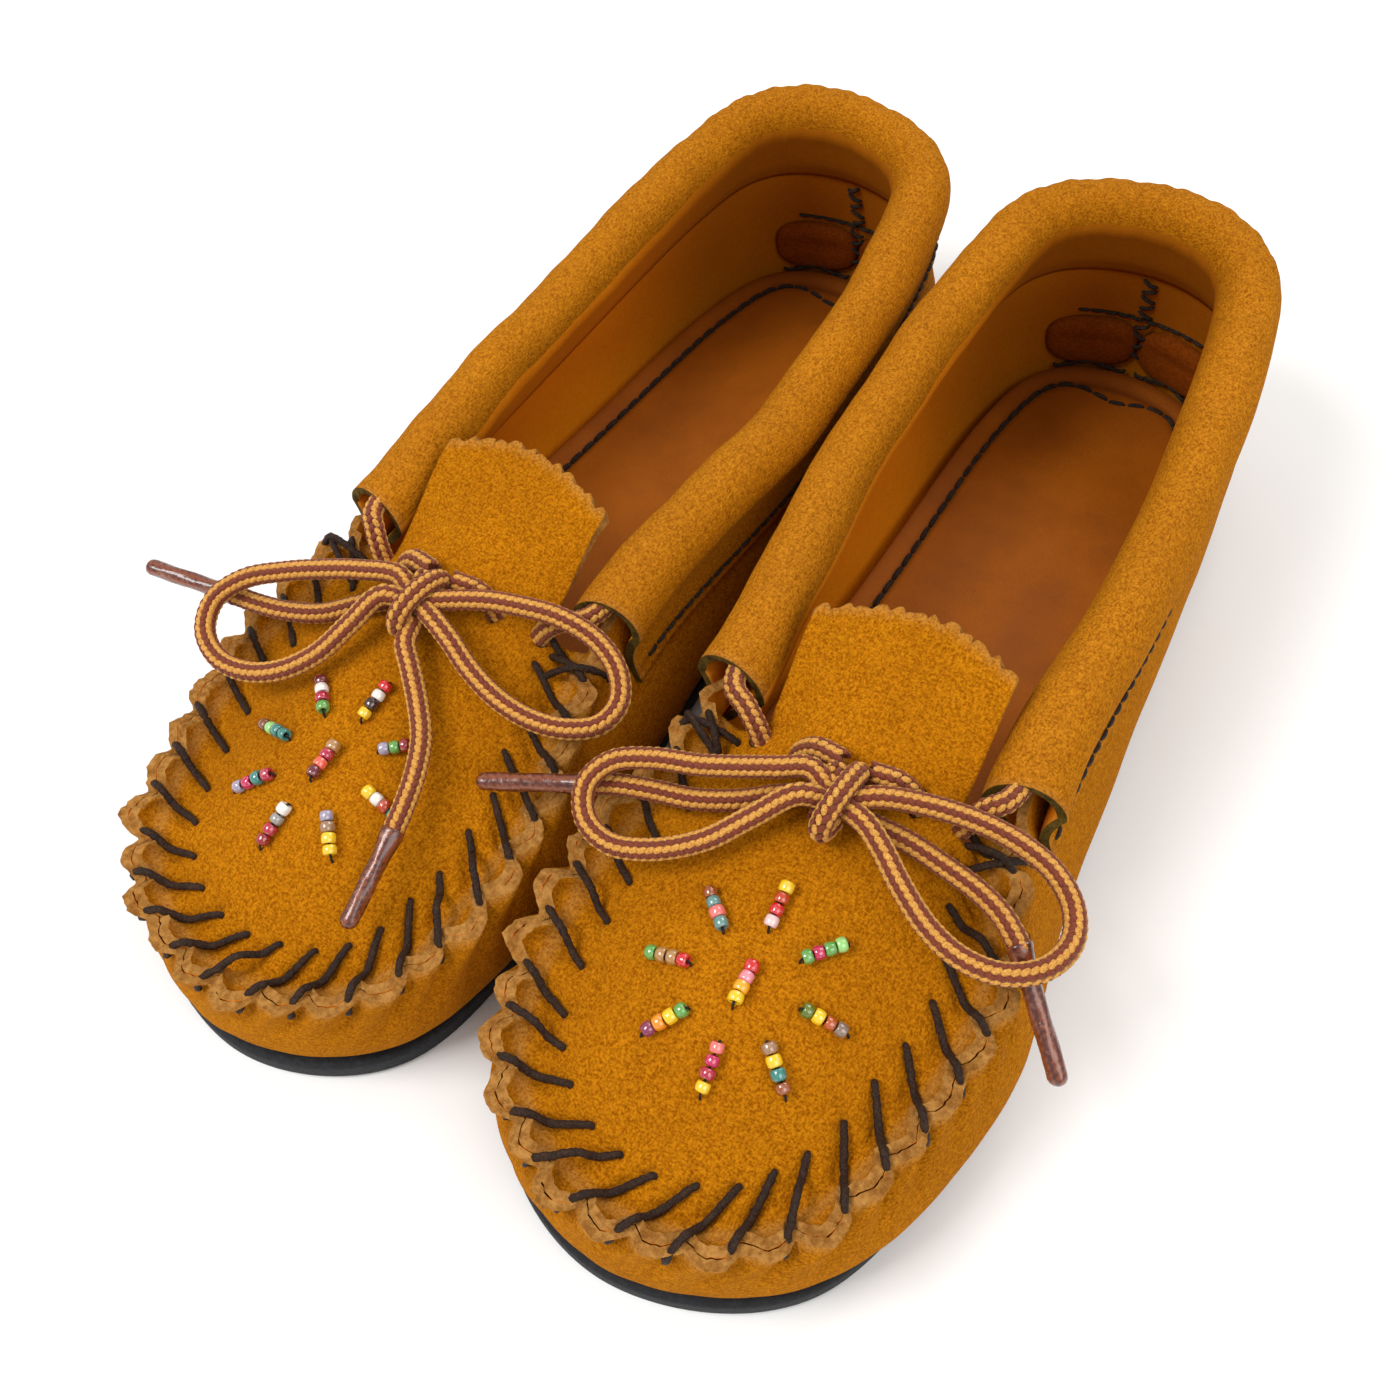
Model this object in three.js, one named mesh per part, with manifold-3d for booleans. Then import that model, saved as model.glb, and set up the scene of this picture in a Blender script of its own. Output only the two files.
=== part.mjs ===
// A pair of beaded suede moccasins with thin rubber soles, rolled collars and round braided laces.
//
// Millimetres, +Z up. The shoes stand on the plane Z = 0 with their toes towards -Y, side by side across
// X = 0. Each shoe is modelled once as a left shoe, in a frame of its own whose -X side is the inner side of
// the foot. The right shoe is the same set of pieces with X mirrored. The bows are tied by hand, so each
// shoe has its own lace route.
import * as THREE from "three";
import { mergeVertices } from "three/addons/utils/BufferGeometryUtils.js";
import Module from "manifold-3d";

// ---------------------------------------------------------------- driving dimensions, in millimetres

const pair = { centreDistance: 86, splayDegrees: 2 };

const shoe = {
  length: 253, // over the upper, toe to heel
  ballWidth: 86, // over the feather line at the ball of the foot
  waistWidth: 71,
  heelWidth: 65,
  toeReach: 58.5, // from the toe tip back to the ball
  throatReach: 90.5, // from the toe tip back to the end of the apron seam
  heelReach: 37.5, // from the back of the heel forward to its widest place
  toeHeight: 27, // top of the seam ridge at the toe tip
  ballHeight: 35,
  throatHeight: 46,
  waistHeight: 49,
  heelHeight: 60, // top edge of the wall, under the collar
  throatWidth: 56, // between the wall's top edges at the end of the seam
  openingWidth: 61, // between the wall's top edges at the waist
};

// The toe's corners, as shares of the half width at the ball, and how far the tip leans to the inner side.
const toeCorner = { inner: 0.84, outer: 0.68, lean: 5 };

// How far inside the shoe's outline the wall's top edge runs.
const topInset = { toe: 3, ballInner: 2, ballOuter: 5, heel: 5.5, heelBack: 9.5 };

// How much further out the wall's top edge leans on the foot's inner side.
const innerLean = { heelBack: 2.5, heel: 3.6, waist: 4.3, turn: 3 };

const leather = 1.8;
const fitGap = 0.3; // between neighbouring pieces

const sole = { thickness: 5, inset: 3.5, lip: 1, toeLip: 4.2 };
const wall = { bulge: 5, toeBulge: 2.8 };
const insole = { thickness: 3, clearance: 0.7 };
const liner = { thickness: 1.2, inset: 1.5 };
const ridge = { height: 3.6, baseInset: 3.4 };
const apron = { crownAtThroat: 51, crownAtToe: 38.5, toeCentreReach: 47.5 };
const tongue = { baseWidth: 40, tipWidth: 38, length: 20, tipArc: 4.5, rise: 9, gap: 0.9 };
const lace = { diameter: 4.2, holeClearance: 0.3, tunnelSlack: 0.2 };
const collar = {
  outerDrop: 14, // how far each leg reaches below the wall's top edge
  innerDrop: 10,
  setback: 5, // from the end of the apron seam back to the open mouth
  rollWidth: 13,
  rollHeight: 8, // from the wall's top edge to the crest
};
const lacing = {
  thickness: 1.3,
  pitch: 9.5,
  slant: 4, // along the ridge, from the outer end of a stitch to its hole in the apron
  outerDrop: 2.6,
  endMargin: 5,
  lift: 1.21, // of its middle line from the suede under it
  wallLift: 0.35, // more of that down on the wall, which curves away
  holeShare: 0.05, // of the way from the ridge's foot to the middle line
};
const thread = { thickness: 1, lift: 0.5, collarMargin: 1.8, linerMargin: 4 };
const heelTab = { width: 40, height: 14, thickness: 3.4, clearance: 0.7 };
const backSeam = { thickness: 0.9, tabGap: 1 };
const bead = { diameter: 2.3, hole: 0.9, length: 1.75, perStrand: 4 };
const beadStar = { centreReach: 45.5, innerRadius: 10.6, rays: 8, turnDegrees: 4 };
const knot = { toeReach: 77.5, width: 11, length: 15, height: 9.4 };
const aglet = { startDiameter: 4.4, endDiameter: 3.4 };

// ---------------------------------------------------------------- materials

const finish = (color, roughness) => new THREE.MeshStandardMaterial({ color, roughness, metalness: 0 });
const suede = finish(0xc07a14, 0.95);
const footbedLeather = finish(0x9a5608, 0.8);
const rubber = finish(0x15161a, 0.8);
const foam = finish(0xd8c9a8, 0.95);
const waxedThread = finish(0x2e1d18, 0.6);
const laceBraid = finish(0x9a5a2c, 0.7);
const agletFilm = finish(0x5a2a20, 0.25);
const glassBeads = finish(0xd04050, 0.15);

// ---------------------------------------------------------------- general shapes

const lerp = THREE.MathUtils.lerp;
const steps = (count) => Array.from({ length: count + 1 }, (_, i) => i / count);
const smooth = (t) => t * t * (3 - 2 * t);
const point = (x, y, z) => new THREE.Vector3(x, y, z);
const loopThrough = (points) => new THREE.CatmullRomCurve3(points, true, "catmullrom");
const pathThrough = (points) => new THREE.CatmullRomCurve3(points, false, "centripetal");

// Merges equal vertices, drops the faces that this collapses, and turns the solid outside out.
function welded(vertices, faces) {
  const loose = new THREE.BufferGeometry().setFromPoints(vertices);
  loose.setIndex(faces.flat());
  const merged = mergeVertices(loose, 1e-3);
  const index = merged.index.array;
  const corner = [0, 1, 2].map(() => new THREE.Vector3());
  const kept = [];
  let volume = 0;
  for (let i = 0; i < index.length; i += 3) {
    const face = [index[i], index[i + 1], index[i + 2]];
    if (new Set(face).size < 3) continue;
    kept.push(face);
    face.forEach((vertex, k) => corner[k].fromBufferAttribute(merged.attributes.position, vertex));
    volume += corner[0].dot(corner[1].clone().cross(corner[2]));
  }
  merged.setIndex(kept.flatMap((face) => (volume < 0 ? face.reverse() : face)));
  merged.computeVertexNormals();
  return merged;
}

// Closes the space between two grids of points (rows of columns) into a solid. A loop joins its last column
// to its first. A spine is a last row that already meets itself, so it gets no wall.
function shell(outer, inner, { loop = false, spine = false } = {}) {
  const rows = outer.length;
  const columns = outer[0].length;
  const vertices = [...outer.flat(), ...inner.flat()];
  const at = (layer, row, column) => layer * rows * columns + row * columns + (column % columns);
  const faces = [];
  const quad = (a, b, c, d) => faces.push([a, b, c], [a, c, d]);
  const lastColumn = loop ? columns : columns - 1;
  for (let i = 0; i < rows - 1; i++) {
    for (let j = 0; j < lastColumn; j++) {
      quad(at(0, i, j), at(0, i, j + 1), at(0, i + 1, j + 1), at(0, i + 1, j));
      quad(at(1, i, j), at(1, i + 1, j), at(1, i + 1, j + 1), at(1, i, j + 1));
    }
  }
  for (let j = 0; j < lastColumn; j++) {
    quad(at(0, 0, j), at(1, 0, j), at(1, 0, j + 1), at(0, 0, j + 1));
    if (!spine) quad(at(0, rows - 1, j), at(0, rows - 1, j + 1), at(1, rows - 1, j + 1), at(1, rows - 1, j));
  }
  for (let i = 0; i < rows - 1 && !loop; i++) {
    quad(at(0, i, 0), at(0, i + 1, 0), at(1, i + 1, 0), at(1, i, 0));
    const end = columns - 1;
    quad(at(0, i, end), at(1, i, end), at(1, i + 1, end), at(0, i + 1, end));
  }
  return welded(vertices, faces);
}

// A round cord along a hand-laid route.
function roundCord(points, diameter, segments, sides = 8) {
  const ring = steps(sides)
    .slice(0, sides)
    .map((t) => new THREE.Vector2(diameter / 2, 0).rotateAround(new THREE.Vector2(), t * 2 * Math.PI));
  const options = { steps: segments, extrudePath: pathThrough(points), bevelEnabled: false };
  return new THREE.ExtrudeGeometry(new THREE.Shape(ring), options);
}

// A square thread laid on a surface: each place gives a point on the thread's middle line and the surface's
// outward direction there.
function flatThread(places, thickness) {
  const half = thickness / 2;
  const rings = places.map(({ middle, outward }, i) => {
    const before = places[Math.max(0, i - 1)].middle;
    const after = places[Math.min(places.length - 1, i + 1)].middle;
    const along = after.clone().sub(before).normalize();
    const across = along.clone().cross(outward).normalize();
    const up = across.clone().cross(along).normalize();
    const corner = ([a, b]) => middle.clone().addScaledVector(across, a * half).addScaledVector(up, b * half);
    return [[-1, -1], [1, -1], [1, 1], [-1, 1]].map(corner);
  });
  const vertices = rings.flat();
  const faces = [[0, 2, 1], [0, 3, 2]];
  const last = 4 * (rings.length - 1);
  faces.push([last, last + 1, last + 2], [last, last + 2, last + 3]);
  for (let i = 0; i < rings.length - 1; i++) {
    for (let k = 0; k < 4; k++) {
      const a = 4 * i + k;
      const b = 4 * i + ((k + 1) % 4);
      faces.push([a, b, b + 4], [a, b + 4, a + 4]);
    }
  }
  return welded(vertices, faces);
}

// ---------------------------------------------------------------- the shoe's outlines and wall

const toeY = -shoe.length / 2;
const heelY = shoe.length / 2;
const ballY = toeY + shoe.toeReach;
const throatY = toeY + shoe.throatReach;
const heelWideY = heelY - shoe.heelReach;
const waistY = lerp(throatY, heelWideY, 0.55);
const seamTurnY = throatY + 8;
const baseZ = sole.thickness + fitGap;

// The feather line, where the upper meets the sole.
function featherPoints() {
  const ball = shoe.ballWidth / 2 - sole.inset;
  const waist = shoe.waistWidth / 2 - sole.inset;
  const heel = shoe.heelWidth / 2 - sole.inset;
  const toe = toeY + sole.inset;
  const back = heelY - sole.inset;
  return [
    point(0, back, baseZ),
    point(-0.72 * heel, back - 0.28 * heel, baseZ),
    point(-heel, heelWideY, baseZ),
    point(-waist, waistY, baseZ),
    point(-lerp(waist, ball, 0.5), seamTurnY, baseZ),
    point(-ball, ballY - 4, baseZ),
    point(-toeCorner.inner * ball, toe + 0.36 * ball, baseZ),
    point(-toeCorner.lean, toe, baseZ),
    point(toeCorner.outer * ball, toe + 0.37 * ball, baseZ),
    point(ball, ballY + 2, baseZ),
    point(lerp(waist, ball, 0.55), seamTurnY, baseZ),
    point(waist, waistY, baseZ),
    point(heel, heelWideY, baseZ),
    point(0.72 * heel, back - 0.28 * heel, baseZ),
  ];
}

// The wall's top edge: the seam ridge round the apron in front, and the edge inside the collar behind.
function topPoints() {
  const heel = shoe.heelWidth / 2 - topInset.heel;
  const back = heelY - topInset.heelBack;
  const toe = toeY + topInset.toe;
  const inner = shoe.ballWidth / 2 - topInset.ballInner;
  const outer = shoe.ballWidth / 2 - topInset.ballOuter;
  const throat = shoe.throatWidth / 2;
  const opening = shoe.openingWidth / 2;
  const cornerHeight = lerp(shoe.toeHeight, shoe.ballHeight, 0.2);
  return [
    point(0, back, shoe.heelHeight),
    point(-0.72 * heel - innerLean.heelBack, back - 0.28 * heel, shoe.heelHeight - 0.8),
    point(-heel - innerLean.heel, heelWideY, shoe.heelHeight - 4),
    point(-opening - innerLean.waist, waistY, shoe.waistHeight),
    point(-throat - innerLean.turn, seamTurnY, shoe.throatHeight),
    point(-inner, ballY - 4, shoe.ballHeight),
    point(-toeCorner.inner * inner, toe + 0.36 * inner, cornerHeight),
    point(-toeCorner.lean, toe, shoe.toeHeight),
    point(toeCorner.outer * outer, toe + 0.37 * outer, cornerHeight),
    point(outer, ballY + 2, shoe.ballHeight),
    point(throat, seamTurnY, shoe.throatHeight),
    point(opening, waistY, shoe.waistHeight),
    point(heel, heelWideY, shoe.heelHeight - 4),
    point(0.72 * heel, back - 0.28 * heel, shoe.heelHeight - 0.8),
  ];
}

const feather = loopThrough(featherPoints());
const topEdge = loopThrough(topPoints());

function outwardOf(curve, u) {
  const tangent = curve.getTangent(u);
  return point(tangent.y, -tangent.x, 0).normalize();
}

// 0 behind the ball of the foot, 1 at the tip of the toe.
const toeShare = (y) => smooth(THREE.MathUtils.clamp((ballY - y) / (ballY - toeY), 0, 1));

// A point on the wall's outer face: u runs round the shoe from the back of the heel, v from sole to top edge.
function wallPoint(u, v) {
  const low = feather.getPoint(u);
  const high = topEdge.getPoint(u);
  const swell = lerp(wall.bulge, wall.toeBulge, toeShare(high.y)) * 6.75 * v * (1 - v) ** 2;
  const height = lerp(baseZ, high.z, v);
  return low.lerp(high, smooth(v)).setZ(height).addScaledVector(outwardOf(topEdge, u), swell);
}

// The same face at a drop in millimetres below the top edge, or at a height above the ground.
const wallBelowTop = (u, drop) => wallPoint(u, 1 - drop / (topEdge.getPoint(u).z - baseZ));
const wallAtHeight = (u, z) => wallPoint(u, (z - baseZ) / (topEdge.getPoint(u).z - baseZ));

// The u on the inner (-1) or outer (1) side of the foot where the top edge passes a given y.
function topEdgeAt(y, side) {
  let behind = side < 0 ? 3 / 14 : 11 / 14;
  let ahead = side < 0 ? 6 / 14 : 8 / 14;
  for (let i = 0; i < 40; i++) {
    const middle = (behind + ahead) / 2;
    if (topEdge.getPoint(middle).y > y) behind = middle;
    else ahead = middle;
  }
  return (behind + ahead) / 2;
}

// The wall is built of flat facets between these places round the shoe. What lies against it has its own
// facets between the same places, so that the two never cross.
const wallFacets = 56;
const facetPlaces = steps(wallFacets).slice(0, wallFacets);

function placesBetween(from, to) {
  const first = Math.ceil(from * wallFacets + 0.2);
  const last = Math.floor(to * wallFacets - 0.2);
  const between = Array.from({ length: last - first + 1 }, (_, i) => (first + i) / wallFacets);
  return [from, ...between, to];
}

// ---------------------------------------------------------------- sole and foot bed

const outlineParts = 48;

// A flat slab whose edge runs beside the feather line, so far outside it.
function slab(outside, z, thickness, toeExtra = 0) {
  const edge = steps(outlineParts)
    .slice(0, outlineParts)
    .map((u) => ({ at: feather.getPoint(u), out: outwardOf(feather, u) }))
    .map(({ at, out }) => at.clone().addScaledVector(out, outside + toeExtra * toeShare(at.y)))
    .map((p) => new THREE.Vector2(p.x, p.y));
  const options = { depth: thickness, bevelEnabled: false };
  return new THREE.ExtrudeGeometry(new THREE.Shape(edge), options).translate(0, 0, z);
}

const padInset = leather + insole.clearance;
const padZ = baseZ + leather + fitGap;
const linerZ = padZ + insole.thickness + fitGap;
const footbedZ = linerZ + liner.thickness;

const outsole = () => slab(sole.lip, 0, sole.thickness, sole.toeLip - sole.lip);
const insolePad = () => slab(-padInset, padZ, insole.thickness);
const sockLiner = () => slab(-padInset - liner.inset, linerZ, liner.thickness);

// The seam that holds the sock liner: it runs along both sides and round the heel, on top of the liner.
function footbedThread() {
  const inset = padInset + liner.inset + thread.linerMargin;
  const middleZ = footbedZ + fitGap + thread.thickness / 2;
  const places = steps(36).map((t) => {
    const u = (lerp(-0.4, 0.4, t) + 1) % 1;
    const middle = feather.getPoint(u).addScaledVector(outwardOf(feather, u), -inset).setZ(middleZ);
    return { middle, outward: point(0, 0, 1) };
  });
  return flatThread(places, thread.thickness);
}

// ---------------------------------------------------------------- upper: wrap, apron and tongue

// The wrap: one leather cup that passes under the foot and up all round to the top edge.
function bottomWrap() {
  const columns = facetPlaces;
  const centre = point(0, 0, baseZ);
  const floorShares = [0.02, 0.9];
  const heights = [0.015, 0.12, 0.3, 0.5, 0.75, 1];
  const floorRow = (share, inset, z) =>
    columns.map((u) =>
      centre.clone().lerp(feather.getPoint(u).addScaledVector(outwardOf(feather, u), -inset), share).setZ(z),
    );
  const wallRow = (v, inset) =>
    columns.map((u) => {
      const p = wallPoint(u, v).addScaledVector(outwardOf(topEdge, u), -inset);
      return p.setZ(Math.max(p.z, baseZ + inset));
    });
  const outside = [...floorShares.map((s) => floorRow(s, 0, baseZ)), ...heights.map((v) => wallRow(v, 0))];
  const inside = [
    ...floorShares.map((s) => floorRow(s, 0, baseZ + leather)),
    ...heights.map((v) => wallRow(v, leather)),
  ];
  const below = columns.map(() => centre.clone());
  const above = columns.map(() => centre.clone().setZ(baseZ + leather));
  return shell([below, ...outside], [above, ...inside], { loop: true });
}

const seamStart = topEdgeAt(throatY, -1);
const seamEnd = topEdgeAt(throatY, 1);
const toeCentreY = toeY + apron.toeCentreReach;

// The apron's middle line, from the throat to the centre of the toe curve.
function crownAt(y) {
  const share = THREE.MathUtils.clamp((y - throatY) / (toeCentreY - throatY), 0, 1);
  return point(-1.5 * share, y, lerp(apron.crownAtThroat, apron.crownAtToe, share ** 0.9));
}

// The place on the middle line that a place along the seam (0 inner throat, 1 outer throat) runs in to.
const spinePoint = (along) => crownAt(lerp(throatY, toeCentreY, Math.min(1, Math.min(along, 1 - along) / 0.3)));

// The apron's upper face, or the face a sink below it. Along runs round the seam from the inner side of the
// throat (0) to the outer (1), across from the ridge's top (0) over its foot to the middle line (1).
const ridgeShare = 0.2;
const seamU = (along) => lerp(seamStart, seamEnd, along);
const seamPlaces = placesBetween(seamStart, seamEnd).map((u) => (u - seamStart) / (seamEnd - seamStart));

function apronPoint(along, across, sink = 0) {
  const u = seamU(along);
  const outward = outwardOf(topEdge, u);
  const rim = topEdge.getPoint(u).addScaledVector(outward, -2 * leather - fitGap);
  if (across < ridgeShare) {
    const turn = (across / ridgeShare) * (Math.PI / 2);
    const reach = ridge.baseInset * (1 - Math.cos(turn)) - Math.cos(turn) * sink;
    const z = rim.z - ridge.height * Math.sin(turn) - Math.sin(turn) * sink;
    return rim.addScaledVector(outward, -reach).setZ(z);
  }
  const foot = rim.clone().addScaledVector(outward, -ridge.baseInset).setZ(rim.z - ridge.height);
  const share = (across - ridgeShare) / (1 - ridgeShare);
  const spine = spinePoint(along);
  const z = lerp(foot.z, spine.z, Math.sin((share * Math.PI) / 2));
  return foot.lerp(spine, share).setZ(z - sink);
}

function apronBlank() {
  const rows = [0, 0.1, ridgeShare, 0.36, 0.55, 0.78];
  const spine = seamPlaces.map((_, i) => spinePoint(i / (seamPlaces.length - 1)));
  const face = (sink) => [
    ...rows.map((across) => seamPlaces.map((along) => apronPoint(along, across, sink))),
    spine.map((p) => p.clone().setZ(p.z - sink)),
  ];
  return shell(face(0), face(leather), { spine: true });
}

// The height of the apron's upper face across the end of the seam.
function throatProfile(x) {
  const foot = apronPoint(0, ridgeShare);
  const reach = Math.min(1, Math.abs(x / foot.x));
  return lerp(foot.z, apron.crownAtThroat, Math.cos((reach * Math.PI) / 2));
}

// The tongue's upper face: side runs from -1 to 1, back from the hinge line (0) to the tip (1).
function tonguePoint(side, back, sink) {
  const halfWidth = lerp(tongue.baseWidth, tongue.tipWidth, Math.sin((back * Math.PI) / 2)) / 2;
  const x = side * halfWidth;
  const y = throatY + tongue.gap + back * (tongue.length + tongue.tipArc * (1 - side * side));
  return point(x, y, throatProfile(x) + tongue.rise * back ** 1.3 - sink);
}

function tonguePiece() {
  const sides = steps(10).map((t) => 2 * t - 1);
  const face = (sink) => steps(5).map((back) => sides.map((side) => tonguePoint(side, back, sink)));
  return shell(face(0), face(leather));
}

// ---------------------------------------------------------------- collar and its seam

const mouthStart = topEdgeAt(throatY + collar.setback, -1);
const mouthEnd = topEdgeAt(throatY + collar.setback, 1);
const tunnelHalfWidth = collar.rollWidth / 2 - leather;
const tunnelHeight = collar.rollHeight - leather;
const legShare = 0.3;

// Round the opening from the outer mouth over the heel to the inner mouth, u runs on past 0.
const onLoop = (u) => (u + 1) % 1;
const collarPlaces = placesBetween(mouthEnd - 1, mouthStart).map(onLoop);
const wallMiddle = (u) => topEdge.getPoint(u).addScaledVector(outwardOf(topEdge, u), -leather / 2);

// One point of the folded strip at a place u round the collar. Over runs from the outer leg's lower edge (0)
// over the crest (0.5) to the inner leg's lower edge (1). Offset grows outwards from the strip's hidden face.
function collarPoint(u, over, offset) {
  const outward = outwardOf(topEdge, u);
  if (over <= legShare || over >= 1 - legShare) {
    const outside = over <= legShare;
    const share = (outside ? over : 1 - over) / legShare;
    const drop = (outside ? collar.outerDrop : collar.innerDrop) * (1 - share);
    const swing = (tunnelHalfWidth - leather / 2 - fitGap) * share ** 2;
    const away = fitGap + offset + swing;
    return wallBelowTop(u, drop).addScaledVector(outward, outside ? away : -leather - away);
  }
  const angle = ((over - legShare) / (1 - 2 * legShare)) * Math.PI;
  const crest = wallMiddle(u).addScaledVector(outward, (tunnelHalfWidth + offset) * Math.cos(angle));
  return crest.setZ(crest.z + (tunnelHeight + offset) * Math.sin(angle));
}

function collarPiece() {
  const overs = [0, 0.15, legShare, 0.38, 0.46, 0.54, 0.62, 1 - legShare, 0.85, 1];
  const face = (offset) => overs.map((over) => collarPlaces.map((u) => collarPoint(u, over, offset)));
  return shell(face(leather), face(0));
}

function collarThread() {
  const over = (thread.collarMargin / collar.outerDrop) * legShare;
  const places = collarPlaces.slice(1, -1).map((u) => {
    const middle = collarPoint(u, over, leather + thread.lift + thread.thickness / 2);
    return { middle, outward: outwardOf(topEdge, u) };
  });
  return flatThread(places, thread.thickness);
}

// ---------------------------------------------------------------- inside the heel

// A point inside the back wall, on the wall's own facets. Side is the distance in facets from the back seam.
function heelPoint(side, z, inside) {
  const corner = (facet) => {
    const u = onLoop(facet / wallFacets);
    return wallAtHeight(u, z).addScaledVector(outwardOf(topEdge, u), -leather - heelTab.clearance - inside);
  };
  const low = Math.floor(side);
  return corner(low).lerp(corner(low + 1), side - low);
}

// Two rounded ends of the folded back strip, side by side in one piece.
function heelTabPiece() {
  const low = footbedZ + fitGap;
  const lobe = (side) => Math.sqrt(Math.max(0, 1 - (2 * Math.abs(side) - 1) ** 4));
  const sides = steps(12).map((t) => 2 * t - 1);
  const facetWidth = wallAtHeight(0, low).distanceTo(wallAtHeight(1 / wallFacets, low));
  const reach = heelTab.width / 2 / facetWidth;
  const top = (side) => low + heelTab.height * lerp(0.45, 1, lobe(side));
  const row = (share, inside) =>
    sides.map((side) => heelPoint(side * reach, lerp(low, top(side), share), inside));
  const shares = [0, 0.5, 1];
  return shell(shares.map((share) => row(share, 0)), shares.map((share) => row(share, heelTab.thickness)));
}

function backSeamThread() {
  const low = footbedZ + fitGap + heelTab.height + backSeam.tabGap;
  const high = shoe.heelHeight - collar.innerDrop - backSeam.tabGap;
  const places = steps(5).map((t) => ({
    middle: heelPoint(0, lerp(low, high, t), backSeam.thickness / 2),
    outward: point(0, -1, 0),
  }));
  return flatThread(places, backSeam.thickness);
}

// ---------------------------------------------------------------- stitches over the ridge and beads

// One waxed thread crosses the ridge at every stitch and runs along it from one stitch to the next.
function apronLacing() {
  const length = topEdge.getLength() * (seamEnd - seamStart);
  const stitches = Math.round((length - 2 * lacing.endMargin) / lacing.pitch);
  const { lift, slant } = lacing;
  const up = point(0, 0, 1);
  const places = [];
  for (let i = 0; i <= stitches; i++) {
    const start = lacing.endMargin + (i / stitches) * (length - 2 * lacing.endMargin - slant);
    const along = (share) => (start + share * slant) / length;
    const lowOut = outwardOf(topEdge, seamU(along(0)));
    const edgeOut = outwardOf(topEdge, seamU(along(0.3)));
    const low = wallBelowTop(seamU(along(0)), lacing.outerDrop).addScaledVector(lowOut, lift + lacing.wallLift);
    const edge = topEdge.getPoint(seamU(along(0.3))).addScaledVector(edgeOut, lift / 2);
    edge.z += lift;
    const rim = apronPoint(along(0.6), 0, -lift);
    rim.z += lift;
    const hole = apronPoint(along(1), ridgeShare + lacing.holeShare, -lift);
    const crossing = [
      { middle: low, outward: lowOut },
      { middle: edge, outward: edgeOut.clone().add(up).normalize() },
      { middle: rim, outward: up },
      { middle: hole, outward: up },
    ];
    places.push(...(i % 2 ? crossing.reverse() : crossing));
  }
  return flatThread(places, lacing.thickness);
}

// The apron's upper face above a point in plan, found from the two places along the seam beside it.
function apronHeight(x, y) {
  let best = { distance: Infinity, z: 0 };
  for (const along of steps(120)) {
    for (const across of steps(40)) {
      const p = apronPoint(along, across);
      const distance = Math.hypot(p.x - x, p.y - y);
      if (distance < best.distance) best = { distance, z: p.z };
    }
  }
  return best.z;
}

// A strand of beads on its thread, lying on the apron from its inner end outwards.
function beadStrand(x, y, angle) {
  const profile = [new THREE.Vector2(0, 0), new THREE.Vector2(bead.hole / 2, 0)];
  for (let i = 0; i < bead.perStrand; i++) {
    profile.push(new THREE.Vector2(bead.diameter / 2, (i + 0.5) * bead.length));
    profile.push(new THREE.Vector2(bead.hole / 2, (i + 1) * bead.length));
  }
  const length = bead.perStrand * bead.length;
  profile.push(new THREE.Vector2(0, length));
  const round = new THREE.LatheGeometry(profile, 6).deleteAttribute("uv").deleteAttribute("normal");
  const geometry = mergeVertices(round);
  const inner = point(x, y, apronHeight(x, y));
  const far = point(x + Math.cos(angle) * length, y + Math.sin(angle) * length, 0);
  far.z = apronHeight(far.x, far.y);
  const direction = far.clone().sub(inner).normalize();
  const lift = bead.diameter / 2 + fitGap;
  geometry.applyQuaternion(new THREE.Quaternion().setFromUnitVectors(point(0, 1, 0), direction));
  return geometry.translate(inner.x, inner.y, inner.z + lift);
}

function beadStrands() {
  const centre = point(-1, toeY + beadStar.centreReach, 0);
  const turn = THREE.MathUtils.degToRad(beadStar.turnDegrees);
  const half = (bead.perStrand * bead.length) / 2;
  const middle = beadStrand(centre.x, centre.y - half, Math.PI / 2);
  const rays = steps(beadStar.rays)
    .slice(0, beadStar.rays)
    .map((t) => turn + t * 2 * Math.PI)
    .map((angle) => {
      const x = centre.x + Math.cos(angle) * beadStar.innerRadius;
      const y = centre.y + Math.sin(angle) * beadStar.innerRadius;
      return beadStrand(x, y, angle);
    });
  return [middle, ...rays];
}

// ---------------------------------------------------------------- lace, knot and bow

const knotCentre = crownAt(toeY + knot.toeReach).setX(0);
knotCentre.z += fitGap + knot.height / 2;

// From the knot through the two slits of the apron and over the ridge to the collar's mouth.
const standingRoute = [
  [3.4, -41.2, 52.2], [7.6, -40.5, 51.6], [10.4, -40.3, 48.8], [11.9, -40.2, 45.4], [14.1, -39.9, 42.2],
  [16.8, -39.4, 41.2], [19.2, -38.8, 42.8], [20.8, -37.9, 46], [22.6, -36.3, 48.3], [25, -33.8, 49],
];

const apronHoleReach = 20; // from the middle line to the outer slit; beyond it the inner side leans out

// The lace's held stretch: both standing parts and the run through the collar, round the heel.
function heldLace() {
  const lean = (x) => innerLean.turn * THREE.MathUtils.clamp((x - apronHoleReach) / (25 - apronHoleReach), 0, 1);
  const inner = standingRoute.map(([x, y, z]) => point(-x - lean(x), y, z));
  const outer = standingRoute.map(([x, y, z]) => point(x, y, z)).reverse();
  const rests = fitGap + lace.tunnelSlack + lace.diameter / 2;
  const tunnel = collarPlaces.filter((_, i) => i % 2 === 0).map((u) => wallMiddle(u));
  tunnel.forEach((middle) => middle.setZ(middle.z + rests));
  return { route: [...inner, ...tunnel.reverse(), ...outer], segments: 64 };
}

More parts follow.
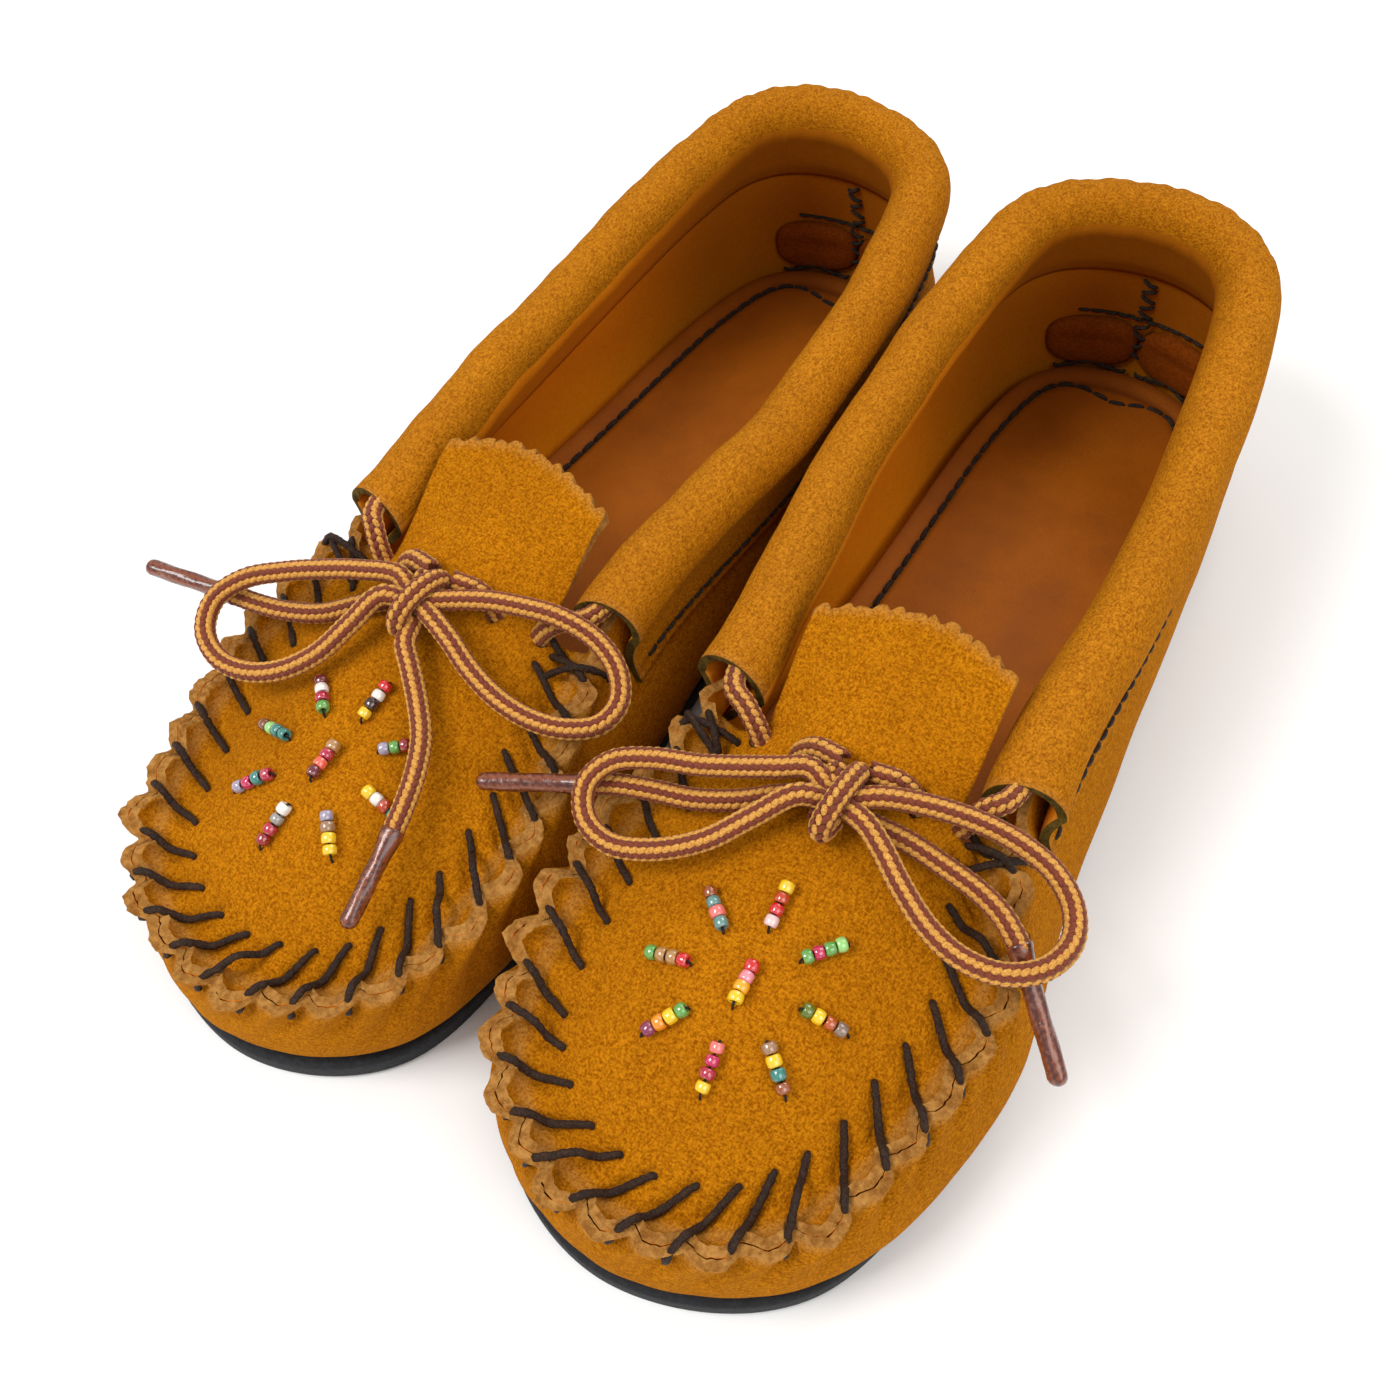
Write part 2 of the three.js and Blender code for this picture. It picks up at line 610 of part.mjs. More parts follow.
function knotPiece() {
  const round = new THREE.SphereGeometry(0.5, 10, 7).deleteAttribute("uv").deleteAttribute("normal");
  const { x, y, z } = knotCentre;
  return mergeVertices(round).scale(knot.width, knot.length, knot.height).translate(x, y, z);
}

const bows = {
  left: {
    inner_loop: [
      [-6.4, -46, 53.4], [-12, -48, 52.6], [-18, -50, 51.2], [-25, -52.2, 49.8], [-33, -54.4, 49.2],
      [-39.5, -58, 48.6], [-42, -63, 46.6], [-39.5, -68, 44.2], [-33.5, -70.2, 43.4], [-26, -68.3, 44.2],
      [-18, -63.5, 46.5], [-12, -57.5, 50], [-6.4, -51.6, 53],
    ],
    outer_loop: [
      [6.4, -45.8, 53.4], [12, -43.8, 53], [18.5, -42, 51.9], [25, -41, 50.6], [31, -41.2, 49.4],
      [37, -42.8, 48.2], [42, -47, 47.2], [44, -53, 46.8], [42, -59, 46.8], [36.5, -63, 46.6],
      [29.5, -63.6, 46.6], [22.5, -61.5, 47.4], [15.5, -57.5, 49.8], [10.5, -54, 52], [6.4, -51.5, 53],
    ],
    inner_tail: [
      [-6.6, -48.9, 48.9], [-11, -51, 48.3], [-16, -53.6, 46.9], [-24, -56.2, 45], [-32, -57.6, 44.1],
      [-38.5, -59.2, 43.5], [-42.6, -61, 43.1],
    ],
    inner_end: [[-43.1, -61.25, 43.1], [-61.5, -70, 42.8]],
    outer_tail: [
      [6.6, -48.6, 48.7], [13, -48.3, 47.6], [20, -48.8, 46], [27, -50.2, 45.2], [32, -52.3, 44.8],
      [36, -55.2, 44],
    ],
    outer_end: [[36.5, -55.7, 43.8], [51, -70, 32.5]],
  },
  right: {
    outer_loop: [
      [6.4, -46.4, 53.4], [14, -48.5, 52.6], [21.5, -51.4, 51.2], [29, -55.2, 49.8], [35.6, -60.2, 48.6],
      [39, -66, 46.2], [37.2, -71.6, 43.6], [31, -74.8, 42.2], [24, -74.2, 42.2], [17.5, -71, 43.7],
      [12.5, -65.5, 46.2], [9.2, -58.6, 50], [6.5, -51.8, 53],
    ],
    inner_loop: [
      [-6.4, -45.8, 53.4], [-12.5, -42.9, 54], [-19, -40.8, 54.2], [-26.5, -39, 53.8], [-34, -38.4, 51.2],
      [-40, -40.7, 48.4], [-43.2, -45.3, 46.2], [-42.5, -50.6, 45.2], [-37.5, -54.4, 44.8],
      [-30.5, -56.2, 45], [-23, -56.2, 46.4], [-16, -54.8, 49], [-11, -53, 51.6], [-6.4, -51.5, 53],
    ],
    outer_tail: [
      [6.6, -48.9, 48.7], [12.5, -52.6, 47.2], [19, -56.6, 44.8], [26.5, -59.4, 43.6], [34, -61, 43.2],
      [38.5, -61.6, 43.2],
    ],
    outer_end: [[39, -61.7, 43.2], [59, -65.6, 44]],
    inner_tail: [
      [-3, -57, 50.2], [-6.5, -60.2, 48.9], [-11, -64.4, 46], [-15.6, -69.5, 44], [-18.8, -75.5, 42.6],
      [-20.8, -81.5, 41.2], [-21.8, -86, 39.9],
    ],
    inner_end: [[-21.9, -86.3, 39.8], [-24.5, -104, 34.5]],
  },
};

const routeOf = (points) => points.map(([x, y, z]) => point(x, y, z));

function cordPiece(points, diameter) {
  const route = routeOf(points);
  const segments = Math.round(pathThrough(route).getLength() / (2.2 * diameter));
  return roundCord(route, diameter, segments);
}

// A film tip that narrows from the cord's thickness to its rounded end.
function agletPiece([start, end]) {
  const from = point(...start);
  const direction = point(...end).sub(from);
  const length = direction.length();
  const wide = aglet.startDiameter / 2;
  const narrow = aglet.endDiameter / 2;
  const profile = [
    [0, 0], [wide, 0], [narrow, 0.2 * length], [narrow, length - narrow / 2], [narrow / 2, length], [0, length],
  ];
  const points = profile.map(([radius, along]) => new THREE.Vector2(radius, along));
  const round = new THREE.LatheGeometry(points, 8).deleteAttribute("uv").deleteAttribute("normal");
  const turn = new THREE.Quaternion().setFromUnitVectors(point(0, 1, 0), direction.normalize());
  return mergeVertices(round).applyQuaternion(turn).translate(from.x, from.y, from.z);
}

// ---------------------------------------------------------------- cutting the lace's slits in the apron

const wasm = await Module();
wasm.setup();

function asManifold(geometry) {
  const bare = new THREE.BufferGeometry().setAttribute("position", geometry.attributes.position);
  if (geometry.index) bare.setIndex(geometry.index);
  const merged = mergeVertices(bare, 1e-3);
  const vertProperties = new Float32Array(merged.attributes.position.array);
  const triVerts = new Uint32Array(merged.index.array);
  return new wasm.Manifold(new wasm.Mesh({ numProp: 3, vertProperties, triVerts }));
}

function asGeometry(manifold) {
  const mesh = manifold.getMesh();
  const geometry = new THREE.BufferGeometry();
  geometry.setAttribute("position", new THREE.BufferAttribute(mesh.vertProperties, 3));
  geometry.setIndex(new THREE.BufferAttribute(mesh.triVerts, 1));
  geometry.computeVertexNormals();
  return geometry;
}

function apronPiece() {
  const { route, segments } = heldLace();
  const drill = asManifold(roundCord(route, lace.diameter + 2 * lace.holeClearance, segments, 10));
  const bodies = asManifold(apronBlank()).subtract(drill).decompose();
  bodies.sort((a, b) => b.volume() - a.volume());
  return asGeometry(bodies[0]);
}

// ---------------------------------------------------------------- assembly

function shoeGroup(side) {
  const group = new THREE.Group();
  const add = (name, geometry, look) => {
    const mesh = new THREE.Mesh(geometry, look);
    mesh.name = `${side}_${name}`;
    group.add(mesh);
  };
  add("outsole", outsole(), rubber);
  add("bottom_wrap", bottomWrap(), suede);
  add("insole_pad", insolePad(), foam);
  add("sock_liner", sockLiner(), footbedLeather);
  add("footbed_thread", footbedThread(), waxedThread);
  add("apron", apronPiece(), suede);
  add("tongue", tonguePiece(), suede);
  add("collar", collarPiece(), suede);
  add("collar_thread", collarThread(), waxedThread);
  add("heel_tab", heelTabPiece(), suede);
  add("back_seam_thread", backSeamThread(), waxedThread);
  add("apron_lacing", apronLacing(), waxedThread);
  beadStrands().forEach((strand, i) => add(`bead_strand_${i + 1}`, strand, glassBeads));
  const { route, segments } = heldLace();
  add("lace", roundCord(route, lace.diameter, segments), laceBraid);
  add("knot", knotPiece(), laceBraid);
  for (const [name, points] of Object.entries(bows[side])) {
    if (name.endsWith("_end")) add(name.replace("end", "aglet"), agletPiece(points), agletFilm);
    else add(`bow_${name}`, cordPiece(points, lace.diameter), laceBraid);
  }
  return group;
}

const left = shoeGroup("left");
left.position.x = pair.centreDistance / 2;
left.rotation.z = THREE.MathUtils.degToRad(pair.splayDegrees);

const right = new THREE.Group();
const mirrored = shoeGroup("right");
mirrored.scale.x = -1;
right.add(mirrored);
right.position.x = -pair.centreDistance / 2;
right.rotation.z = -THREE.MathUtils.degToRad(pair.splayDegrees);

// The origin lies in the middle of the two uppers' box, on the ground.
const uppers = new THREE.Box3();
for (const side of [left, right]) {
  side.updateMatrixWorld(true);
  side.traverse((piece) => piece.name.endsWith("bottom_wrap") && uppers.expandByObject(piece, true));
}
const moccasins = new THREE.Group();
moccasins.add(left, right);
moccasins.position.y = -uppers.getCenter(new THREE.Vector3()).y;
export default moccasins;
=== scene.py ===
import math

import bmesh
import bpy
import numpy as np
from mathutils import Matrix, Vector


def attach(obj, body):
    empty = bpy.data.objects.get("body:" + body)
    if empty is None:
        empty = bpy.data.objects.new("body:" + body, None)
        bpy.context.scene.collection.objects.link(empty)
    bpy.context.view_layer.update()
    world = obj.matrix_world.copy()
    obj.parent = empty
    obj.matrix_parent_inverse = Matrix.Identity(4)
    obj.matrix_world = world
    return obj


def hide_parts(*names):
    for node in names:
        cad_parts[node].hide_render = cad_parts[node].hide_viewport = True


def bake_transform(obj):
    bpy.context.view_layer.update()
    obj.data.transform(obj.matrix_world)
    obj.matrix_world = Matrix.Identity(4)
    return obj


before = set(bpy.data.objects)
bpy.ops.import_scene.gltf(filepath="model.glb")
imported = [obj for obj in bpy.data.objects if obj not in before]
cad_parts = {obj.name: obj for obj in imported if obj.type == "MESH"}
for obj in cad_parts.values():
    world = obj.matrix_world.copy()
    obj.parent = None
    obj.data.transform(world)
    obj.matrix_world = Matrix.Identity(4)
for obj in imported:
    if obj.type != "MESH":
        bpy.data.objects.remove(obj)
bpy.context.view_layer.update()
sides = ("left", "right")
# both shoes are laced the same way round, so the stitches of the mirrored shoe slant the other way
slantWay = {"left": 1, "right": -1}
rng = np.random.default_rng(11)

# lengths below are millimetres in the frame of one shoe: toe towards -Y, the foot's inner side at -X
pairPlan = {"centreDistance": 86.0, "splay": 2.0, "setBack": -0.293}


def toWorld(side, points):
    p = np.atleast_2d(np.asarray(points, float))
    sign = 1 if side == "left" else -1
    turn = sign * math.radians(pairPlan["splay"])
    x = sign * p[:, 0]
    return 0.001 * np.stack(
        [
            sign * pairPlan["centreDistance"] / 2 + x * math.cos(turn) - p[:, 1] * math.sin(turn),
            x * math.sin(turn) + p[:, 1] * math.cos(turn) + pairPlan["setBack"],
            p[:, 2],
        ],
        axis=1,
    )


# ---- camera

cameraView = {"azimuth": 33.558, "elevation": 53.652, "distance": 0.38372, "roll": 0.057, "lens": 37.81}
cameraTarget = Vector((-0.0262, 0.0173, -0.0457))


def setCamera():
    azimuth, elevation = math.radians(cameraView["azimuth"]), math.radians(cameraView["elevation"])
    back = Vector((
        math.sin(azimuth) * math.cos(elevation),
        -math.cos(azimuth) * math.cos(elevation),
        math.sin(elevation),
    ))
    camera = bpy.data.objects.new("camera", bpy.data.cameras.new("camera"))
    camera.data.lens = cameraView["lens"]
    camera.data.sensor_width = 36
    camera.data.clip_start = 0.01
    turn = back.to_track_quat("Z", "Y").to_matrix().to_4x4() @ Matrix.Rotation(-cameraView["roll"], 4, "Z")
    camera.matrix_world = Matrix.Translation(cameraTarget + back * cameraView["distance"]) @ turn
    bpy.context.scene.collection.objects.link(camera)
    bpy.context.scene.camera = camera


setCamera()
print("camera set")

# ---- curves through given points


def loopPoint(knots, u):
    u = np.atleast_1d(np.asarray(u, float)) % 1
    n = len(knots)
    place = u * n
    i = np.floor(place).astype(int)
    w = (place - i)[:, None]
    a, b, c, d = (knots[(i + k) % n] for k in (-1, 0, 1, 2))
    return 0.5 * (2 * b + (c - a) * w + (2 * a - 5 * b + 4 * c - d) * w**2 + (3 * b - 3 * c + d - a) * w**3)


def outwardOf(knots, u):
    u = np.atleast_1d(np.asarray(u, float))
    along = loopPoint(knots, u + 1e-4) - loopPoint(knots, u - 1e-4)
    out = np.stack([along[:, 1], -along[:, 0], 0 * along[:, 0]], axis=1)
    return out / np.linalg.norm(out, axis=1, keepdims=True)


def smoothPath(points, step=0.6):
    # an open centripetal spline through the points, at about the given step
    p = np.asarray(points, float)
    p = np.vstack([2 * p[0] - p[1], p, 2 * p[-1] - p[-2]])
    made = []
    for a, b, c, d in zip(p[:-3], p[1:-2], p[2:-1], p[3:]):
        t0, t1 = 0.0, np.linalg.norm(b - a) ** 0.5
        t2 = t1 + np.linalg.norm(c - b) ** 0.5
        t3 = t2 + np.linalg.norm(d - c) ** 0.5
        count = max(2, int(np.linalg.norm(c - b) / step))
        t = np.linspace(t1, t2, count, endpoint=False)[:, None]
        ab = (t1 - t) / (t1 - t0) * a + (t - t0) / (t1 - t0) * b
        bc = (t2 - t) / (t2 - t1) * b + (t - t1) / (t2 - t1) * c
        cd = (t3 - t) / (t3 - t2) * c + (t - t2) / (t3 - t2) * d
        abc = (t2 - t) / (t2 - t0) * ab + (t - t0) / (t2 - t0) * bc
        bcd = (t3 - t) / (t3 - t1) * bc + (t - t1) / (t3 - t1) * cd
        made.append((t2 - t) / (t2 - t1) * abc + (t - t1) / (t2 - t1) * bcd)
    return np.vstack(made + [p[-2:-1]])


def runningLength(path):
    # the distance from the start to every point of a path
    return np.concatenate([[0], np.cumsum(np.linalg.norm(np.diff(path, axis=0), axis=1))])


def ease(t):
    t = np.clip(t, 0, 1)
    return t * t * (3 - 2 * t)


def squared(value, power):
    # a power that keeps the sign, to make round outlines squarer
    return math.copysign(abs(value) ** power, value)


def bell(distance, width):
    # 1 at no distance, falling away smoothly
    return np.exp(-((distance / width) ** 2))


def waves(points, size, seed):
    # soft wandering noise made of a few sines, about -1 to 1, with features of the given size
    source = np.random.default_rng(seed)
    total = np.zeros(len(points))
    for _ in range(7):
        way = source.normal(size=3)
        way *= 2 * np.pi / (size * source.uniform(0.7, 1.6) * np.linalg.norm(way))
        total += np.sin(points @ way + source.uniform(0, 7))
    return total / 3.5


# ---- meshes


def makeObject(name, data):
    made = bpy.data.objects.new(name, data)
    bpy.context.scene.collection.objects.link(made)
    return made


def gridFaces(rows, columns, closed=False, start=0):
    r, c = np.meshgrid(np.arange(rows - 1), np.arange(columns if closed else columns - 1), indexing="ij")
    r, c = r.ravel(), c.ravel()
    d = (c + 1) % columns
    low, high = start + r * columns, start + (r + 1) * columns
    return np.stack([low + c, low + d, high + d, high + c], axis=1)


def skin(name, side, points, faces, finishes, marks=None, weld=False):
    # a surface in the shoe's frame becomes a mesh in the row frame, facing the way its faces turn
    mesh = bpy.data.meshes.new(name)
    faces = [list(f)[::-1] if side == "right" else list(f) for f in faces]
    mesh.from_pydata(toWorld(side, points).tolist(), [], [[int(i) for i in f] for f in faces])
    for key, values in (marks or {}).items():
        layer = mesh.attributes.new(key, "FLOAT", "POINT")
        layer.data.foreach_set("value", np.asarray(values, np.float32))
    if weld:
        work = bmesh.new()
        work.from_mesh(mesh)
        bmesh.ops.remove_doubles(work, verts=work.verts, dist=2e-5)
        bmesh.ops.dissolve_degenerate(work, edges=work.edges, dist=1e-6)
        work.to_mesh(mesh)
        work.free()
    mesh.update()
    mesh.polygons.foreach_set("use_smooth", [True] * len(mesh.polygons))
    for finish in finishes:
        mesh.materials.append(finish)
    return makeObject(name, mesh)


def bake(piece):
    graph = bpy.context.evaluated_depsgraph_get()
    mesh = bpy.data.meshes.new_from_object(piece.evaluated_get(graph), depsgraph=graph)
    mesh.name = piece.name
    if piece.type == "MESH":
        piece.modifiers.clear()
        piece.data = mesh
        return piece
    name = piece.name
    bpy.data.objects.remove(piece)
    return makeObject(name, mesh)


def faceOutwards(mesh):
    work = bmesh.new()
    work.from_mesh(mesh)
    bmesh.ops.recalc_face_normals(work, faces=work.faces)
    work.to_mesh(mesh)
    work.free()


def readSurface(mesh):
    # places and normals of every point
    at, normals = np.empty(3 * len(mesh.vertices)), np.empty(3 * len(mesh.vertices))
    mesh.vertices.foreach_get("co", at)
    mesh.vertex_normals.foreach_get("vector", normals)
    return at.reshape(-1, 3), normals.reshape(-1, 3)


def readMark(mesh, name, fallback):
    values = np.full(len(mesh.vertices), fallback, np.float32)
    if name in mesh.attributes:
        mesh.attributes[name].data.foreach_get("value", values)
    return values.astype(float)


def thicken(piece, thickness, innerFinish=0, rimFinish=0):
    # a second face under the first, along the normals or, where "steer" marks ask for it, straight that way
    mesh = piece.data
    count = len(mesh.vertices)
    at, normals = readSurface(mesh)
    steer = np.stack([readMark(mesh, f"steer{axis}", 0.0) for axis in "XYZ"], axis=1)
    share = np.linalg.norm(steer, axis=1, keepdims=True)
    way = steer - normals * (1 - share)
    way /= np.linalg.norm(way, axis=1, keepdims=True)
    under = at + way * (0.001 * thickness * readMark(mesh, "thin", 1.0))[:, None]
    faces = [tuple(face.vertices) for face in mesh.polygons]
    outerFinish = [face.material_index for face in mesh.polygons]
    directed = {(face[k - 1], face[k]) for face in faces for k in range(len(face))}
    rim = [(a, b) for a, b in directed if (b, a) not in directed]
    allFaces = faces + [tuple(count + v for v in face[::-1]) for face in faces]
    allFaces += [(b, a, count + a, count + b) for a, b in sorted(rim)]
    made = bpy.data.meshes.new(mesh.name)
    made.from_pydata(np.vstack([at, under]).tolist(), [], allFaces)
    finishes = outerFinish + [innerFinish] * len(faces) + [rimFinish] * len(rim)
    made.polygons.foreach_set("material_index", finishes)
    made.polygons.foreach_set("use_smooth", [k < 2 * len(faces) for k in range(len(allFaces))])
    for name in ("rub", "groove"):
        layer = made.attributes.new(name, "FLOAT", "POINT")
        layer.data.foreach_set("value", np.tile(readMark(mesh, name, 0.0), 2).astype(np.float32))
    for finish in mesh.materials:
        made.materials.append(finish)
    made.update()
    piece.data = made
    return piece


def steerMarks(side, points, ways):
    # marks that say which way the thickness goes, in the row frame
    world = 1000 * (toWorld(side, points + ways) - toWorld(side, points))
    return {f"steer{axis}": world[:, k] for k, axis in enumerate("XYZ")}


# ---- node helpers


def addNode(tree, kind, **settings):
    node = tree.nodes.new(kind)
    for key, value in settings.items():
        setattr(node, key, value)
    return node


def wire(tree, *wires):
    # each wire names a node and its output, then the next node and its input
    for source, outlet, target, inlet in wires:
        tree.links.new(source.outputs[outlet], target.inputs[inlet])


def feed(tree, socket, value):
    # a socket takes a link or a plain value, and None leaves it as it is
    if isinstance(value, bpy.types.NodeSocket):
        tree.links.new(value, socket)
    elif value is not None:
        socket.default_value = value


def maths(tree, operation, first, second=None, third=None, clamp=False):
    node = addNode(tree, "ShaderNodeMath", operation=operation, use_clamp=clamp)
    for socket, value in zip(node.inputs, (first, second, third)):
        feed(tree, socket, value)
    return node.outputs[0]


def nodeGroup(name, kind, inputs, outputs):
    # an input is a label, the kind of its socket and, for a size, its usual value
    tree = bpy.data.node_groups.new(name, kind)
    for label, socket, *value in inputs:
        made = tree.interface.new_socket(label, in_out="INPUT", socket_type=f"NodeSocket{socket}")
        if value:
            made.default_value = value[0]
    for label, socket in outputs:
        tree.interface.new_socket(label, in_out="OUTPUT", socket_type=f"NodeSocket{socket}")
    return tree, tree.nodes.new("NodeGroupInput"), tree.nodes.new("NodeGroupOutput")


def startTool(name, *inputs):
    # every geometry tool takes a shape and a finish, with its own inputs between them
    inputs = [("Geometry", "Geometry"), *inputs, ("Finish", "Material")]
    return nodeGroup(name, "GeometryNodeTree", inputs, [("Geometry", "Geometry")])


def endTool(tree, start, end, made):
    # real geometry, smooth, in the tool's finish
    real = addNode(tree, "GeometryNodeRealizeInstances")
    smooth = addNode(tree, "GeometryNodeSetShadeSmooth")
    finish = addNode(tree, "GeometryNodeSetMaterial")
    wire(
        tree,
        (made, 0, real, 0),
        (real, 0, smooth, 0),
        (smooth, 0, finish, "Geometry"),
        (start, "Finish", finish, "Material"),
        (finish, 0, end, 0),
    )
    return tree


def useTool(piece, tree, **values):
    step = piece.modifiers.new(tree.name, "NODES")
    step.node_group = tree
    for item in tree.interface.items_tree:
        if item.in_out == "INPUT" and item.name in values:
            step[item.identifier] = values[item.name]
    return bake(piece)


def tubeAlong(tree, corners):
    # a closed round tube, still without its path and its radius
    ring = addNode(tree, "GeometryNodeCurvePrimitiveCircle")
    feed(tree, ring.inputs["Resolution"], corners)
    tube = addNode(tree, "GeometryNodeCurveToMesh")
    tube.inputs["Fill Caps"].default_value = True
    wire(tree, (ring, 0, tube, "Profile Curve"))
    return ring, tube


def makeScatterTool():
    # puts a small piece on every point, its Z along "aim", turned by "spin" and scaled by "size"
    tree, start, end = startTool("scatterTool", ("Piece", "Object"))

    def named(label, kind):
        node = addNode(tree, "GeometryNodeInputNamedAttribute", data_type=kind)
        node.inputs["Name"].default_value = label
        return node

    info = addNode(tree, "GeometryNodeObjectInfo")
    aim = addNode(tree, "FunctionNodeAlignRotationToVector", axis="Z")
    spin = addNode(tree, "FunctionNodeAxisAngleToRotation")
    spin.inputs["Axis"].default_value = (0, 0, 1)
    turned = addNode(tree, "FunctionNodeRotateRotation", rotation_space="LOCAL")
    onPoints = addNode(tree, "GeometryNodeInstanceOnPoints")
    wire(
        tree,
        (start, "Piece", info, "Object"),
        (named("aim", "FLOAT_VECTOR"), "Attribute", aim, "Vector"),
        (named("spin", "FLOAT"), "Attribute", spin, "Angle"),
        (aim, 0, turned, 0),
        (spin, 0, turned, 1),
        (start, "Geometry", onPoints, "Points"),
        (info, "Geometry", onPoints, "Instance"),
        (turned, 0, onPoints, "Rotation"),
        (named("size", "FLOAT_VECTOR"), "Attribute", onPoints, "Scale"),
    )
    return endTool(tree, start, end, onPoints)


def makeThreadTool():
    # a round waxed thread along every spline, thinner at its ends
    tree, start, end = startTool(
        "threadTool", ("Thickness", "Float", 0.001), ("Step", "Float", 0.0006), ("Corners", "Int", 8),
        ("Taper", "Float", 0.25),
    )
    even = addNode(tree, "GeometryNodeResampleCurve", mode="LENGTH")
    ring, tube = tubeAlong(tree, start.outputs["Corners"])
    share = addNode(tree, "GeometryNodeSplineParameter")
    away = maths(tree, "ABSOLUTE", maths(tree, "SUBTRACT", share.outputs["Factor"], 0.5))
    toEnd = maths(tree, "POWER", maths(tree, "MULTIPLY", away, 2), 6)
    taper = maths(tree, "MULTIPLY", toEnd, start.outputs["Taper"])
    feed(tree, tube.inputs["Scale"], maths(tree, "SUBTRACT", 1, taper))
    feed(tree, ring.inputs["Radius"], maths(tree, "MULTIPLY", start.outputs["Thickness"], 0.5))
    wire(tree, (start, "Geometry", even, "Curve"), (start, "Step", even, "Length"), (even, 0, tube, "Curve"))
    return endTool(tree, start, end, tube)


def makeBraidTool():
    # one ring of braid stitches at every pitch along the path, on a core that fills the inside
    tree, start, end = startTool(
        "braidTool", ("Ring", "Object"), ("Pitch", "Float", 0.0015), ("Core", "Float", 0.0017)
    )
    even = addNode(tree, "GeometryNodeResampleCurve", mode="LENGTH")
    places = addNode(tree, "GeometryNodeCurveToPoints", mode="EVALUATED")
    info = addNode(tree, "GeometryNodeObjectInfo")
    onPoints = addNode(tree, "GeometryNodeInstanceOnPoints")
    fine = addNode(tree, "GeometryNodeResampleCurve", mode="LENGTH")
    fine.inputs["Length"].default_value = 0.001
    circle, tube = tubeAlong(tree, 12)
    join = addNode(tree, "GeometryNodeJoinGeometry")
    wire(
        tree,
        (start, "Geometry", even, "Curve"),
        (start, "Pitch", even, "Length"),
        (even, 0, places, 0),
        (start, "Ring", info, "Object"),
        (places, "Points", onPoints, "Points"),
        (places, "Rotation", onPoints, "Rotation"),
        (info, "Geometry", onPoints, "Instance"),
        (start, "Geometry", fine, "Curve"),
        (fine, 0, tube, "Curve"),
        (start, "Core", circle, "Radius"),
        (onPoints, 0, join, 0),
        (tube, 0, join, 0),
    )
    return endTool(tree, start, end, join)


scatterTool, threadTool, braidTool = makeScatterTool(), makeThreadTool(), makeBraidTool()


def curvesAlong(name, side, paths):
    data = bpy.data.curves.new(name, "CURVE")
    data.dimensions = "3D"
    for path in paths:
        line = data.splines.new("POLY")
        line.points.add(len(path) - 1)
        world = np.hstack([toWorld(side, path), np.ones((len(path), 1))])
        line.points.foreach_set("co", world.ravel())
    return makeObject(name, data)


def pointsAt(name, world, **marks):
    # loose points with a vector, number or colour on each
    mesh = bpy.data.meshes.new(name)
    mesh.from_pydata(world.tolist(), [], [])
    kinds = {"aim": "FLOAT_VECTOR", "size": "FLOAT_VECTOR", "spin": "FLOAT", "tint": "FLOAT_COLOR"}
    fields = {"FLOAT_VECTOR": "vector", "FLOAT": "value", "FLOAT_COLOR": "color"}
    for key, values in marks.items():
        layer = mesh.attributes.new(key, kinds[key], "POINT")
        layer.data.foreach_set(fields[kinds[key]], np.asarray(values, float).ravel())
    return makeObject(name, mesh)


# ---- finishes


def srgb(red, green, blue):
    shades = (c / 255 for c in (red, green, blue))
    return (*(c / 12.92 if c <= 10 / 255 else ((c + 0.055) / 1.055) ** 2.4 for c in shades), 1.0)


def mixColour(tree, factor, first, second):
    node = addNode(tree, "ShaderNodeMix", data_type="RGBA")
    for place, value in ((0, factor), (6, first), (7, second)):
        feed(tree, node.inputs[place], value)
    return node.outputs[2]


def noise(tree, vector, scale, detail=2.0, roughness=0.5, stretch=None):
    node = addNode(tree, "ShaderNodeTexNoise")
    for label, value in (("Scale", scale), ("Detail", detail), ("Roughness", roughness)):
        feed(tree, node.inputs[label], value)
    if stretch:
        mapping = addNode(tree, "ShaderNodeMapping")
        mapping.inputs["Rotation"].default_value = stretch[0]
        mapping.inputs["Scale"].default_value = stretch[1]
        tree.links.new(vector, mapping.inputs["Vector"])
        vector = mapping.outputs[0]
    tree.links.new(vector, node.inputs["Vector"])
    return node.outputs["Fac"]


def spread(tree, value, low, high):
    node = addNode(tree, "ShaderNodeMapRange", interpolation_type="SMOOTHSTEP")
    node.inputs["From Min"].default_value, node.inputs["From Max"].default_value = low, high
    tree.links.new(value, node.inputs["Value"])
    return node.outputs[0]


def tinge(tree, body, pattern, limits, strength, colour):
    # a second colour laid over the first where the pattern is high
    return mixColour(tree, maths(tree, "MULTIPLY", spread(tree, pattern, *limits), strength), body, colour)


def markOf(tree, name):
    return addNode(tree, "ShaderNodeAttribute", attribute_name=name).outputs["Fac"]


